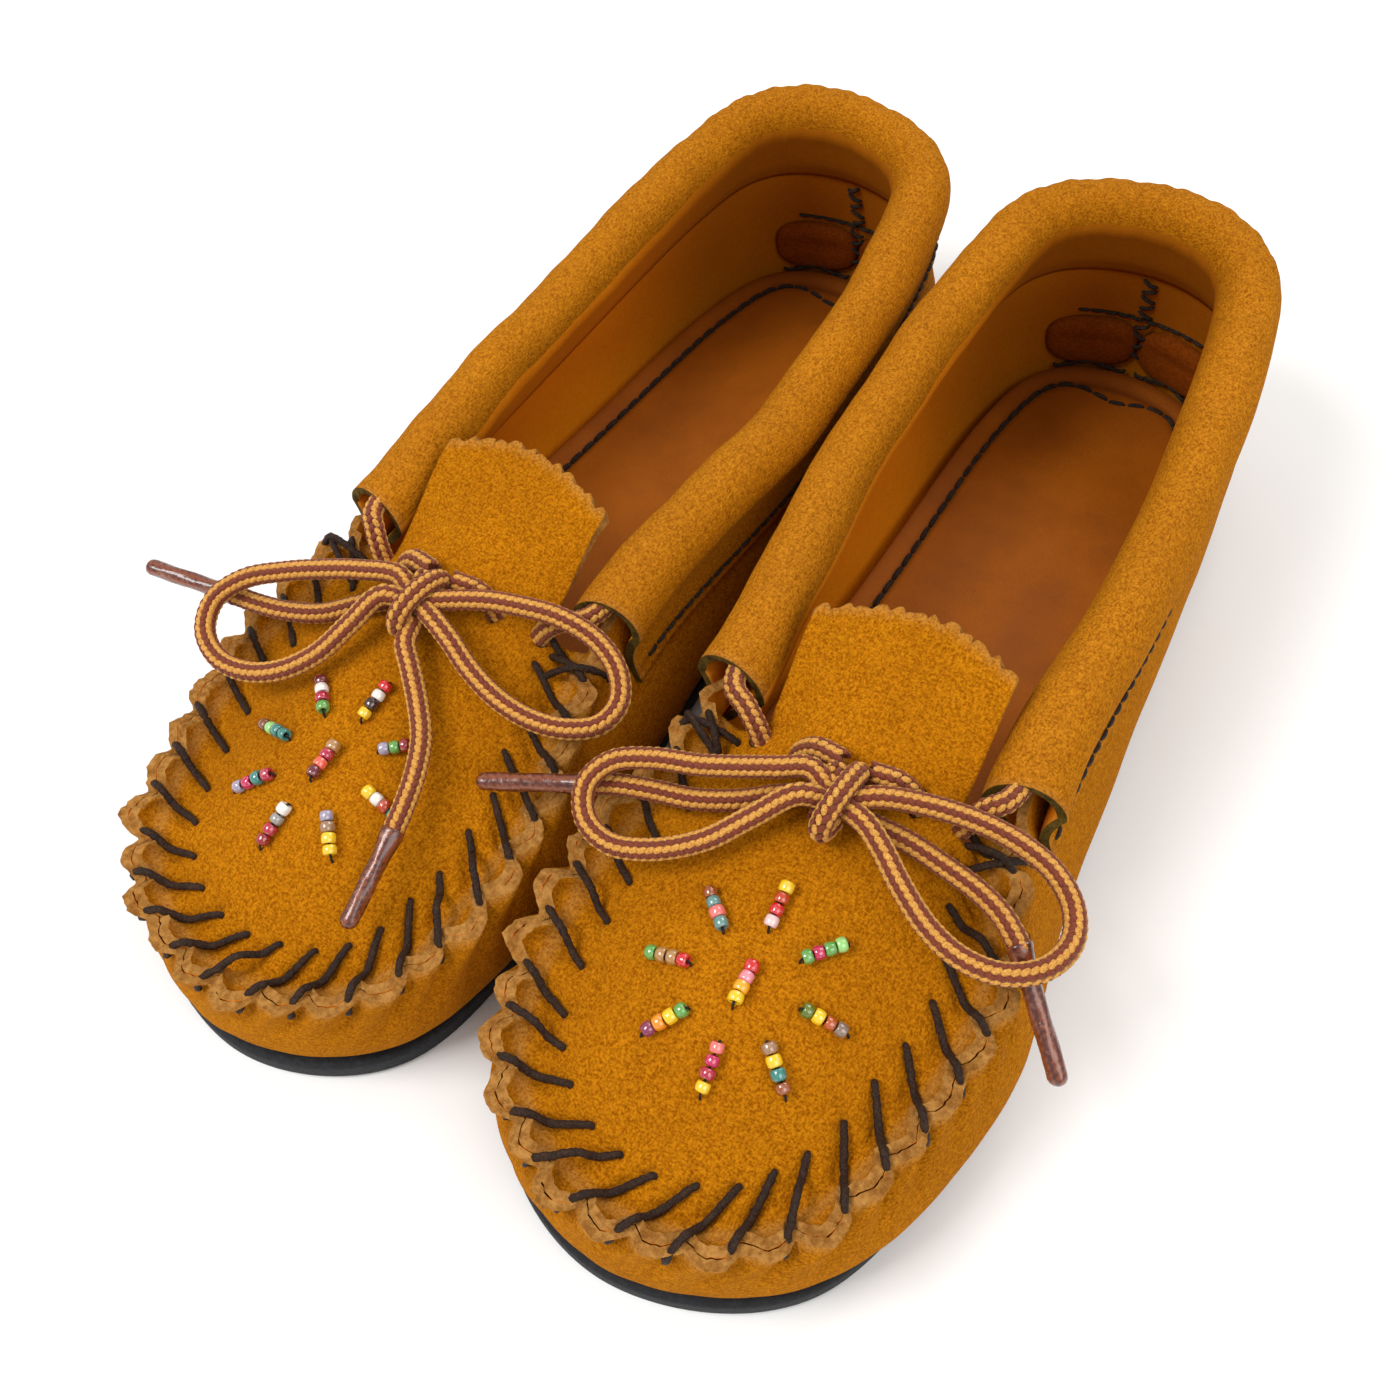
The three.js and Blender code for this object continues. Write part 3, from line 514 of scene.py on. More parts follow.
def makeNapGroup():
    # brushed suede: short fibres lying in slightly different ways, and soft patches where the nap is turned
    tree, start, end = nodeGroup(
        "suedeNap",
        "ShaderNodeTree",
        [("Vector", "Vector"), ("Grain", "Float", 1500.0), ("Contrast", "Float", 1.0)],
        [("Tone", "Float"), ("Patch", "Float"), ("Height", "Float")],
    )
    vector, grain = start.outputs["Vector"], start.outputs["Grain"]
    fibresA = noise(tree, vector, grain, 3, 0.65, ((0.3, 0.5, 0.4), (1, 0.45, 1)))
    fibresB = noise(tree, vector, grain, 3, 0.65, ((0.9, 0.1, -0.8), (0.45, 1, 1)))
    clumps = noise(tree, vector, maths(tree, "MULTIPLY", grain, 0.3), 3, 0.6)
    patches = noise(tree, vector, 38, 4, 0.6)
    both = maths(tree, "ADD", fibresA, fibresB)
    sharp = spread(tree, maths(tree, "MULTIPLY_ADD", clumps, 0.3, both), 0.86, 1.44)
    centred = maths(tree, "SUBTRACT", sharp, 0.5)
    tone = maths(tree, "MULTIPLY_ADD", centred, start.outputs["Contrast"], 0.5, clamp=True)
    tree.links.new(tone, end.inputs["Tone"])
    tree.links.new(spread(tree, patches, 0.3, 0.72), end.inputs["Patch"])
    tree.links.new(maths(tree, "MULTIPLY_ADD", clumps, 0.2, both), end.inputs["Height"])
    return tree


def makeFuzzGroup():
    # the loose fibre structure of a cut edge
    tree, start, end = nodeGroup(
        "cutEdgeFuzz",
        "ShaderNodeTree",
        [("Vector", "Vector"), ("Grain", "Float", 900.0)],
        [("Tone", "Float"), ("Height", "Float")],
    )
    vector, grain = start.outputs["Vector"], start.outputs["Grain"]
    strands = noise(tree, vector, grain, 4, 0.7, ((0, 0, 0), (1, 1, 0.35)))
    tufts = noise(tree, vector, maths(tree, "MULTIPLY", grain, 0.4), 4, 0.65)
    both = maths(tree, "ADD", strands, tufts)
    tree.links.new(spread(tree, both, 0.7, 1.35), end.inputs["Tone"])
    tree.links.new(both, end.inputs["Height"])
    return tree


napGroup, fuzzGroup = makeNapGroup(), makeFuzzGroup()


def newFinish(name, roughness, sheen=0.0, sheenTint=None, coat=0.0, specular=0.5, transmission=0.0):
    material = bpy.data.materials.new(name)
    material.use_nodes = True
    tree = material.node_tree
    shader = tree.nodes["Principled BSDF"]
    values = {
        "Roughness": roughness, "Sheen Weight": sheen, "Sheen Roughness": 0.45, "Sheen Tint": sheenTint,
        "Coat Weight": coat, "Specular IOR Level": specular, "Transmission Weight": transmission,
    }
    for label, value in values.items():
        feed(tree, shader.inputs[label], value)
    place = addNode(tree, "ShaderNodeTexCoord")
    return material, tree, shader, place.outputs["Object"]


def dress(tree, shader, colour, roughness, height, strength, distance):
    # the finish's changing parts: its colour, its gloss and the depth of its relief
    feed(tree, shader.inputs["Base Color"], colour)
    feed(tree, shader.inputs["Roughness"], roughness)
    bump = addNode(tree, "ShaderNodeBump")
    bump.inputs["Strength"].default_value = strength
    bump.inputs["Distance"].default_value = distance
    tree.links.new(height, bump.inputs["Height"])
    tree.links.new(bump.outputs[0], shader.inputs["Normal"])


suedeLook = {
    "deep": srgb(106, 52, 1),
    "middle": srgb(164, 94, 2),
    "light": srgb(216, 140, 18),
    # brighter than the outside to stand in for light bouncing round the inside: painted light
    "inside": srgb(214, 124, 14),
    "cut": srgb(178, 128, 66),
    "cutDark": srgb(124, 78, 30),
    # a dark brown for painted shade
    "shadeBrown": srgb(70, 32, 3),
}


def makeSuede(name, deep, middle, light, grain=2700.0, bump=0.55, sheen=0.1, contrast=1.0, paintedHeelShade=0.0):
    material, tree, shader, vector = newFinish(name, 0.92, sheen, (1.0, 0.5, 0.06, 1.0), specular=0.03)
    nap = addNode(tree, "ShaderNodeGroup", node_tree=napGroup)
    nap.inputs["Grain"].default_value = grain
    nap.inputs["Contrast"].default_value = contrast
    tree.links.new(vector, nap.inputs["Vector"])
    body = mixColour(tree, nap.outputs["Tone"], deep, light)
    body = mixColour(tree, 0.4, body, middle)
    patched = mixColour(tree, maths(tree, "MULTIPLY", nap.outputs["Patch"], 0.2), body, deep)
    if paintedHeelShade:
        # painted shade darkens the back of the shoe's inside, towards the heel
        back = addNode(tree, "ShaderNodeSeparateXYZ")
        tree.links.new(vector, back.inputs[0])
        heelShadeRamp = spread(tree, back.outputs[1], 0.045, 0.105)
        patched = mixColour(tree, maths(tree, "MULTIPLY", heelShadeRamp, paintedHeelShade), patched, suedeLook["shadeBrown"])
    # the mark paints shade into creases, stitch holes and corners, and gives a few parts an even darker tone;
    # edges are rubbed paler
    shadedBody = mixColour(tree, 0.75, patched, suedeLook["shadeBrown"])
    dark = mixColour(tree, markOf(tree, "groove"), patched, shadedBody)
    pale = maths(tree, "MULTIPLY_ADD", nap.outputs["Tone"], 0.6, 0.3)
    pale = maths(tree, "MULTIPLY", markOf(tree, "rub"), pale)
    rubbed = mixColour(tree, pale, dark, suedeLook["cut"])
    roughness = maths(tree, "MULTIPLY_ADD", nap.outputs["Tone"], -0.12, 0.97)
    dress(tree, shader, rubbed, roughness, nap.outputs["Height"], bump, 0.0005)
    return material


def makeCutEdge(name, dark, light, grain=900.0):
    material, tree, shader, vector = newFinish(name, 0.95, 0.1, srgb(255, 210, 140), specular=0.03)
    fuzz = addNode(tree, "ShaderNodeGroup", node_tree=fuzzGroup)
    fuzz.inputs["Grain"].default_value = grain
    tree.links.new(vector, fuzz.inputs["Vector"])
    body = mixColour(tree, fuzz.outputs["Tone"], dark, light)
    dress(tree, shader, body, None, fuzz.outputs["Height"], 0.7, 0.0008)
    return material


def makeFootbedLeather():
    material, tree, shader, vector = newFinish("footbedLeather", 0.62, specular=0.16)
    patches = noise(tree, vector, 30, 5, 0.6)
    pores = noise(tree, vector, 2200, 2, 0.5)
    body = mixColour(tree, spread(tree, patches, 0.3, 0.7), srgb(140, 73, 4), srgb(168, 91, 8))
    body = tinge(tree, body, pores, (0.45, 0.75), 0.25, srgb(116, 54, 4))
    # the mark paints shadow at the heel and shade along the rim, and darkens the seam line
    body = mixColour(tree, markOf(tree, "groove"), body, srgb(84, 36, 5))
    height = maths(tree, "MULTIPLY_ADD", pores, 0.35, noise(tree, vector, 260, 4, 0.6))
    dress(tree, shader, body, maths(tree, "MULTIPLY_ADD", patches, 0.3, 0.45), height, 0.25, 0.0008)
    return material


def makeRubber():
    material, tree, shader, vector = newFinish("crepeRubber", 0.7, specular=0.35)
    crumbs = noise(tree, vector, 700, 5, 0.7)
    dust = noise(tree, vector, 90, 4, 0.6)
    body = mixColour(tree, spread(tree, crumbs, 0.4, 0.75), srgb(16, 18, 22), srgb(38, 40, 46))
    body = tinge(tree, body, dust, (0.55, 0.8), 0.25, srgb(96, 90, 82))
    dress(tree, shader, body, maths(tree, "MULTIPLY_ADD", crumbs, 0.3, 0.55), crumbs, 0.6, 0.001)
    return material


def makeFoam():
    material, tree, shader, vector = newFinish("insoleFoam", 0.95, specular=0.1)
    cells = addNode(tree, "ShaderNodeTexVoronoi")
    cells.inputs["Scale"].default_value = 1200
    tree.links.new(vector, cells.inputs["Vector"])
    body = mixColour(tree, cells.outputs["Distance"], srgb(206, 190, 150), srgb(232, 222, 192))
    dress(tree, shader, body, None, cells.outputs["Distance"], 0.5, 0.0006)
    return material


def makeThreadFinish(name, dark, light, roughness):
    material, tree, shader, vector = newFinish(name, roughness, specular=0.28)
    fibres = noise(tree, vector, 2600, 3, 0.7)
    wax = noise(tree, vector, 420, 4, 0.6)
    body = mixColour(tree, spread(tree, fibres, 0.35, 0.7), dark, light)
    body = tinge(tree, body, wax, (0.5, 0.8), 0.35, srgb(92, 66, 48))
    gloss = maths(tree, "MULTIPLY_ADD", wax, 0.4, roughness - 0.2)
    dress(tree, shader, body, gloss, maths(tree, "MULTIPLY_ADD", wax, 1.4, fibres), 0.8, 0.0006)
    return material


braidColours = {
    "brown": srgb(134, 58, 30), "brownDeep": srgb(84, 28, 14),
    "gold": srgb(226, 168, 78), "goldDeep": srgb(170, 108, 34),
}


def makeBraidFinish():
    material, tree, shader, vector = newFinish("laceBraid", 0.62, 0.3, srgb(255, 220, 170), specular=0.3)
    filaments = noise(tree, vector, 3200, 3, 0.7)
    tone = spread(tree, filaments, 0.3, 0.7)
    brown = mixColour(tree, tone, braidColours["brownDeep"], braidColours["brown"])
    gold = mixColour(tree, tone, braidColours["goldDeep"], braidColours["gold"])
    body = mixColour(tree, markOf(tree, "gold"), brown, gold)
    dress(tree, shader, body, maths(tree, "MULTIPLY_ADD", filaments, 0.3, 0.45), filaments, 0.5, 0.0004)
    return material


def makeAgletFinish():
    # clear film, a little yellowed, pressed over the braid's stripes
    material, tree, shader, vector = newFinish("agletFilm", 0.22, coat=0.6, specular=0.5)
    wrinkles = noise(tree, vector, 700, 3, 0.6)
    body = mixColour(tree, markOf(tree, "gold"), srgb(74, 27, 15), srgb(124, 62, 33))
    body = tinge(tree, body, wrinkles, (0.5, 0.8), 0.4, srgb(176, 128, 104))
    dress(tree, shader, body, maths(tree, "MULTIPLY_ADD", wrinkles, 0.25, 0.12), wrinkles, 0.4, 0.0006)
    return material


def makeBeadGlass():
    material, tree, shader, vector = newFinish("beadGlass", 0.06, coat=1.0, specular=0.7, transmission=0.1)
    tint = addNode(tree, "ShaderNodeAttribute", attribute_name="tint").outputs["Color"]
    streaks = noise(tree, vector, 1500, 2, 0.5)
    body = tinge(tree, tint, streaks, (0.5, 0.8), 0.18, srgb(255, 240, 225))
    dress(tree, shader, body, maths(tree, "MULTIPLY_ADD", streaks, 0.12, 0.05), streaks, 0.08, 0.0004)
    return material


suede = makeSuede("suede", suedeLook["deep"], suedeLook["middle"], suedeLook["light"])
# the inner faces: painted bounce light in brighter colours, and painted shade towards the heel
insideSuede = makeSuede(
    "insideSuede", srgb(188, 100, 8), suedeLook["inside"], srgb(232, 144, 22), 1900, 0.15, 0.05, 0.5, 0.5
)
cutEdge = makeCutEdge("cutEdge", suedeLook["cutDark"], suedeLook["cut"])
dyedEdge = makeCutEdge("dyedEdge", srgb(40, 31, 8), srgb(100, 80, 28))
heelLeather = makeSuede(
    "heelLeather", srgb(92, 38, 5), srgb(128, 58, 9), srgb(156, 80, 16), 1700, 0.3, 0.05, 0.7
)
footbedLeather, crepeRubber, insoleFoam = makeFootbedLeather(), makeRubber(), makeFoam()
waxedThread = makeThreadFinish("waxedThread", srgb(24, 13, 7), srgb(64, 40, 24), 0.6)
sewingThread = makeThreadFinish("sewingThread", srgb(20, 15, 11), srgb(64, 52, 42), 0.7)
laceBraid, agletFilm, beadGlass = makeBraidFinish(), makeAgletFinish(), makeBeadGlass()
print("finishes made")

# ---- the shoe's shape

shoe = {
    "length": 253.0, "ballWidth": 86.0, "waistWidth": 71.0, "heelWidth": 65.0,
    "toeReach": 58.5, "throatReach": 90.5, "heelReach": 37.5,
    "toeHeight": 27.0, "ballHeight": 35.0, "throatHeight": 46.0, "waistHeight": 49.0, "heelHeight": 60.0,
    "throatWidth": 56.0, "openingWidth": 61.0, "bulge": 5.0, "toeBulge": 2.6,
}
toeCorner = {"inner": 0.84, "outer": 0.68, "lean": 5.0}
topInset = {"toe": 3.0, "ballInner": 2.0, "ballOuter": 5.0, "heel": 5.5, "heelBack": 9.5}
leather, fitGap = 1.8, 0.3
sole = {"thickness": 5.0, "inset": 3.5, "lip": 1.0, "toeLip": 2.6, "edgeRound": 1.1}
ridge = {"height": 3.6, "baseInset": 3.4}
apron = {"crownAtThroat": 51.0, "crownAtToe": 38.5, "toeCentreReach": 47.5}
tongue = {
    "baseWidth": 40.0, "tipWidth": 40.5, "length": 20.5, "tipArc": 4.0, "rise": 8.5, "flatten": 0.8,
    "bend": (-0.5, 4.5), "bendHeight": 50.5,
}
collar = {
    "outerDrop": 14.0, "innerDrop": 16.0, "skive": 0.3, "setback": 5.0, "rollWidth": 13.8, "rollHeight": 8.0,
    "around": 650.0, "seamPlace": 0.055,
}
lacing = {
    "pitch": 9.5, "endMargin": 4.0, "slantOut": 3.4, "slantIn": 6.2, "valley": 1.2, "holeInset": 7.6,
    "outerDrop": 3.4, "thickness": 1.45, "sway": 0.5,
}

toeY, heelY = -shoe["length"] / 2, shoe["length"] / 2
ballY, throatY = toeY + shoe["toeReach"], toeY + shoe["throatReach"]
heelWideY = heelY - shoe["heelReach"]
waistY = throatY + 0.55 * (heelWideY - throatY)
seamTurnY = throatY + 8
toeCentreY = toeY + apron["toeCentreReach"]
baseZ = sole["thickness"] + fitGap
footbedZ = baseZ + leather + fitGap + 3 + fitGap + 1.2


def outline(inset, heights):
    # fourteen knots round the shoe from the back of the heel: the feather line, or the top edge of the wall
    ball, ballOuter = shoe["ballWidth"] / 2 - inset["ballInner"], shoe["ballWidth"] / 2 - inset["ballOuter"]
    heel, back, toe = shoe["heelWidth"] / 2 - inset["heel"], heelY - inset["heelBack"], toeY + inset["toe"]
    turnInner, turnOuter, waist = inset["turnInner"], inset["turnOuter"], inset["waist"]
    back0, back1, heelZ, waistZ, turnZ, ballZ, cornerZ, toeZ = heights
    return np.array([
        (0, back, back0), (-0.72 * heel, back - 0.28 * heel, back1), (-heel, heelWideY, heelZ),
        (-waist, waistY, waistZ), (-turnInner, seamTurnY, turnZ), (-ball, ballY - 4, ballZ),
        (-toeCorner["inner"] * ball, toe + 0.36 * ball, cornerZ), (-toeCorner["lean"], toe, toeZ),
        (toeCorner["outer"] * ballOuter, toe + 0.37 * ballOuter, cornerZ), (ballOuter, ballY + 2, ballZ),
        (turnOuter, seamTurnY, turnZ), (waist, waistY, waistZ), (heel, heelWideY, heelZ),
        (0.72 * heel, back - 0.28 * heel, back1),
    ])


featherBall, featherWaist = shoe["ballWidth"] / 2 - sole["inset"], shoe["waistWidth"] / 2 - sole["inset"]
feather = outline(
    dict(
        dict.fromkeys(("ballInner", "ballOuter", "heel", "heelBack", "toe"), sole["inset"]),
        waist=featherWaist,
        turnInner=0.5 * (featherWaist + featherBall),
        turnOuter=featherWaist + 0.55 * (featherBall - featherWaist),
    ),
    [baseZ] * 8,
)
halfThroat, heelTop = shoe["throatWidth"] / 2, shoe["heelHeight"]
topEdge = outline(
    dict(topInset, waist=shoe["openingWidth"] / 2, turnInner=halfThroat, turnOuter=halfThroat),
    [
        heelTop, heelTop - 0.8, heelTop - 4, shoe["waistHeight"], shoe["throatHeight"], shoe["ballHeight"],
        shoe["toeHeight"] + 0.2 * (shoe["ballHeight"] - shoe["toeHeight"]), shoe["toeHeight"],
    ],
)

# the top edge leans further out on the foot's inner side
innerLean = {"heelBack": 2.5, "heel": 3.6, "waist": 4.3, "turn": 3.0}
topEdge[1:5, 0] -= list(innerLean.values())


def toeShare(y):
    # 0 behind the ball of the foot, 1 at the tip of the toe
    return ease((ballY - y) / (ballY - toeY))


def wallPoint(u, v):
    low, high = loopPoint(feather, u), loopPoint(topEdge, u)
    v = np.broadcast_to(np.asarray(v, float), u.shape)[:, None]
    out = low + (high - low) * ease(v)
    out[:, 2] = (baseZ + (high[:, 2:] - baseZ) * v)[:, 0]
    swell = shoe["bulge"] + (shoe["toeBulge"] - shoe["bulge"]) * toeShare(high[:, 1:2])
    return out + outwardOf(topEdge, u) * swell * 6.75 * v * (1 - v) ** 2


def wallBelow(u, drop):
    return wallPoint(u, 1 - drop / (loopPoint(topEdge, u)[:, 2] - baseZ))


def wallAtHeight(u, z):
    return wallPoint(u, (z - baseZ) / (loopPoint(topEdge, u)[:, 2] - baseZ))


def topEdgeAt(y, side):
    behind, ahead = (3 / 14, 6 / 14) if side < 0 else (11 / 14, 8 / 14)
    for _ in range(40):
        middle = (behind + ahead) / 2
        if loopPoint(topEdge, middle)[0, 1] > y:
            behind = middle
        else:
            ahead = middle
    return (behind + ahead) / 2


seamStart, seamEnd = topEdgeAt(throatY, -1), topEdgeAt(throatY, 1)
mouthStart, mouthEnd = topEdgeAt(throatY + collar["setback"], -1), topEdgeAt(throatY + collar["setback"], 1)
seamTable = np.linspace(seamStart, seamEnd, 2000)
seamDistance = runningLength(loopPoint(topEdge, seamTable))
seamLength = seamDistance[-1]


def uAtSeam(distance):
    return np.interp(distance, seamDistance, seamTable)


def seamAtU(u):
    # distance along the seam, running on past both ends
    inside = np.interp(u, seamTable, seamDistance)
    rate = seamLength / (seamEnd - seamStart)
    return inside + np.minimum(0, u - seamStart) * rate + np.maximum(0, u - seamEnd) * rate


# the whip stitches: each crosses the ridge at a place along the seam
stitchCount = int(round((seamLength - 2 * lacing["endMargin"]) / lacing["pitch"])) + 1
stitchAt = np.linspace(lacing["endMargin"], seamLength - lacing["endMargin"], stitchCount)
stitchAt[1:-1] += rng.uniform(-lacing["sway"], lacing["sway"], stitchCount - 2)
lobeSize = rng.uniform(0.65, 1.35, stitchCount + 1)


def lobe(distance):
    # 0 where a stitch pulls the ridge in, 1 on the lobe between two stitches
    distance = np.asarray(distance, float)
    i = np.clip(np.searchsorted(stitchAt, distance), 0, stitchCount)
    low = np.where(i > 0, stitchAt[np.maximum(i - 1, 0)], stitchAt[0] - lacing["pitch"])
    high = np.where(i < stitchCount, stitchAt[np.minimum(i, stitchCount - 1)], stitchAt[-1] + lacing["pitch"])
    share = np.clip((distance - low) / (high - low), 0, 1)
    return np.sin(np.pi * share) ** 0.9 * lobeSize[i]


def seamFade(distance):
    return ease((distance + 6) / 8) * ease((seamLength + 6 - distance) / 8)


flare = {
    "out": 2.2, "pinch": 0.9, "lift": 0.4, "sag": 0.9, "depth": 6.0, "gatherDepth": 12.0, "gatherSlant": 0.7,
}


def flareOf(distance):
    # how far the ridge's edge leans out and how far it rises, at a place along the seam
    high = lobe(distance)
    medial = 1 + 0.35 * ease((seamLength * 0.55 - distance) / 40)
    fade = seamFade(distance)
    wander = 0.6 * np.sin(distance * 0.9) + 0.4 * np.sin(distance * 1.9) + 0.3 * np.sin(distance * 4.3 + 1)
    lean = flare["out"] * medial * high - flare["pinch"] * (1 - high) + wander * 0.4
    rise = flare["lift"] * high - flare["sag"] * (1 - high) + 0.25 * wander
    return fade * lean, fade * rise


def overWall(distance, drop, way):
    # the gathers of the wall lean with the outer ends of the stitches
    gather = np.minimum(drop, flare["gatherDepth"]) / lacing["outerDrop"]
    return distance + way * lacing["slantOut"] * flare["gatherSlant"] * gather


def crownAt(y):
    share = np.clip((y - throatY) / (toeCentreY - throatY), 0, 1)
    z = apron["crownAtThroat"] + (apron["crownAtToe"] - apron["crownAtThroat"]) * share**0.9
    return np.stack([-1.5 * share, y, z], axis=1)


ridgeShare = 0.2


def apronBase(along, across):
    # the apron's upper face: along the seam 0 to 1, and across from the ridge's top 0 to the middle 1
    u = uAtSeam(seamLength * along)
    out = outwardOf(topEdge, u)
    rim = loopPoint(topEdge, u) - out * (2 * leather + fitGap)
    spine = crownAt(throatY + (toeCentreY - throatY) * np.minimum(1, np.minimum(along, 1 - along) / 0.3))
    turn = np.clip(across / ridgeShare, 0, 1) * np.pi / 2
    foot = rim - out * ridge["baseInset"] - np.array([0, 0, ridge["height"]])
    share = np.clip((across - ridgeShare) / (1 - ridgeShare), 0, 1)
    flat = foot + (spine - foot) * share[:, None]
    flat[:, 2] = foot[:, 2] + (spine[:, 2] - foot[:, 2]) * np.sin(share * np.pi / 2)
    curl = rim - out * (ridge["baseInset"] * (1 - np.cos(turn)))[:, None]
    curl[:, 2] = rim[:, 2] - ridge["height"] * np.sin(turn)
    made = np.where((across < ridgeShare)[:, None], curl, flat)
    return made, rim, out, seamAtU(u)


def apronPoint(along, across, way=1):
    along, across = (np.atleast_1d(value).astype(float) for value in (along, across))
    made, rim, out, distance = apronBase(*np.broadcast_arrays(along, across))
    inward = np.linalg.norm((made - rim)[:, :2], axis=1)
    # the folds follow the slanted stitches
    shifted = distance - way * lacing["slantIn"] * inward / lacing["holeInset"] + way * lacing["valley"]
    lean, rise = flareOf(shifted)
    edge = bell(inward, 3.2)
    fold = bell(inward, 8.5) * (1 - bell(inward, 2.0))
    made = made + out * (lean * edge)[:, None]
    made[:, 2] += rise * edge + fold * seamFade(distance) * (1.1 * (lobe(shifted) - 0.6))
    made[:, 2] += 0.35 * waves(made, 26, 3) * ease((inward - 4) / 10)
    return made


def wallSurface(u, drop, way=1):
    # the wall with its flared and gathered edge; drop runs down from the top edge
    made, out = wallBelow(u, drop), outwardOf(topEdge, u)
    distance = seamAtU(u)
    shifted = overWall(distance, drop, way) + way * lacing["valley"]
    lean, rise = flareOf(shifted)
    edge = bell(drop, flare["depth"])
    gather = bell(drop, flare["gatherDepth"]) * (1 - edge) * seamFade(distance)
    made = made + out * (lean * edge + gather * (lobe(shifted) - 0.6))[:, None]
    made[:, 2] += rise * edge
    soft = 0.45 * waves(made, 30, 5) * ease(drop / 8) * ease((wallHeightAt(u) - drop) / 6)
    return made + out * soft[:, None]


def wallHeightAt(u):
    return loopPoint(topEdge, u)[:, 2] - baseZ


print("stitches per shoe", stitchCount, "seam", round(float(seamLength), 1))

# ---- cords first: the bows

lace = {"diameter": 4.2, "pitch": 1.45, "columns": 10, "core": 1.55}
aglet = {"startDiameter": 4.4, "endDiameter": 3.4}
knotCentre = crownAt(np.array([toeY + 77.5]))[0] * [0, 1, 1] + [0, 0, 5.0]

bows = {
    "left": {
        "inner_loop": [
            (-6.4, -46, 53.4), (-12, -48, 52.6), (-18, -50, 51.2), (-25, -52.2, 49.8), (-33, -54.4, 49.2),
            (-39.5, -58, 48.6), (-42, -63, 46.6), (-39.5, -68, 44.2), (-33.5, -70.2, 43.4),
            (-26, -68.3, 44.2), (-18, -63.5, 46.5), (-12, -57.5, 50), (-6.4, -51.6, 53),
        ],
        "outer_loop": [
            (6.4, -45.8, 53.4), (12, -43.8, 53), (18.5, -42, 51.9), (25, -41, 50.6), (31, -41.2, 49.4),
            (37, -42.8, 48.2), (42, -47, 47.2), (44, -53, 46.8), (42, -59, 46.8), (36.5, -63, 46.6),
            (29.5, -63.6, 46.6), (22.5, -61.5, 47.4), (15.5, -57.5, 49.8), (10.5, -54, 52), (6.4, -51.5, 53),
        ],
        "inner_tail": [
            (-6.6, -48.9, 48.9), (-11, -51, 48.3), (-16, -53.6, 46.9), (-24, -56.2, 45), (-32, -57.6, 44.1),
            (-38.5, -59.2, 43.5), (-42.6, -61, 43.1),
        ],
        "inner_end": [(-43.1, -61.25, 43.1), (-61.5, -70, 42.8)],
        "outer_tail": [
            (6.6, -48.6, 48.7), (13, -48.3, 47.6), (20, -48.8, 46), (27, -50.2, 45.2), (32, -52.3, 44.8),
            (36, -55.2, 44),
        ],
        "outer_end": [(36.5, -55.7, 43.8), (51, -70, 32.5)],
    },
    "right": {
        "outer_loop": [
            (6.4, -46.4, 53.4), (14, -48.5, 52.6), (21.5, -51.4, 51.2), (29, -55.2, 49.8),
            (35.6, -60.2, 48.6), (39, -66, 46.2), (37.2, -71.6, 43.6), (31, -74.8, 42.2),
            (24, -74.2, 42.2), (17.5, -71, 43.7),
            (12.5, -65.5, 46.2), (9.2, -58.6, 50), (6.5, -51.8, 53),
        ],
        "inner_loop": [
            (-6.4, -45.8, 53.4), (-12.5, -42.9, 54), (-19, -40.8, 54.2), (-26.5, -39, 53.8),
            (-34, -38.4, 51.2), (-40, -40.7, 48.4), (-43.2, -45.3, 46.2), (-42.5, -50.6, 45.2),
            (-37.5, -54.4, 44.8),
            (-30.5, -56.2, 45), (-23, -56.2, 46.4), (-16, -54.8, 49), (-11, -53, 51.6), (-6.4, -51.5, 53),
        ],
        "outer_tail": [
            (6.6, -48.9, 48.7), (12.5, -52.6, 47.2), (19, -56.6, 44.8), (26.5, -59.4, 43.6), (34, -61, 43.2),
            (38.5, -61.6, 43.2),
        ],
        "outer_end": [(39, -61.7, 43.2), (59, -65.6, 44)],
        "inner_tail": [
            (-3, -57, 50.2), (-6.5, -60.2, 48.9), (-11, -64.4, 46), (-15.6, -69.5, 44), (-18.8, -75.5, 42.6),
            (-20.8, -81.5, 41.2), (-21.8, -86, 39.9),
        ],
        "inner_end": [(-21.9, -86.3, 39.8), (-24.5, -104, 34.5)],
    },
}

# from the knot through the two slits of the apron and over the ridge to the collar's mouth
standingRoute = [
    (3.4, -41.2, 52.2), (7.6, -40.5, 51.6), (10.4, -40.3, 48.8), (11.9, -40.2, 45.4), (14.1, -39.9, 42.2),
    (16.8, -39.4, 41.2), (19.2, -38.8, 42.8), (20.8, -37.9, 46), (22.6, -36.3, 48.3), (25, -33.8, 49),
]


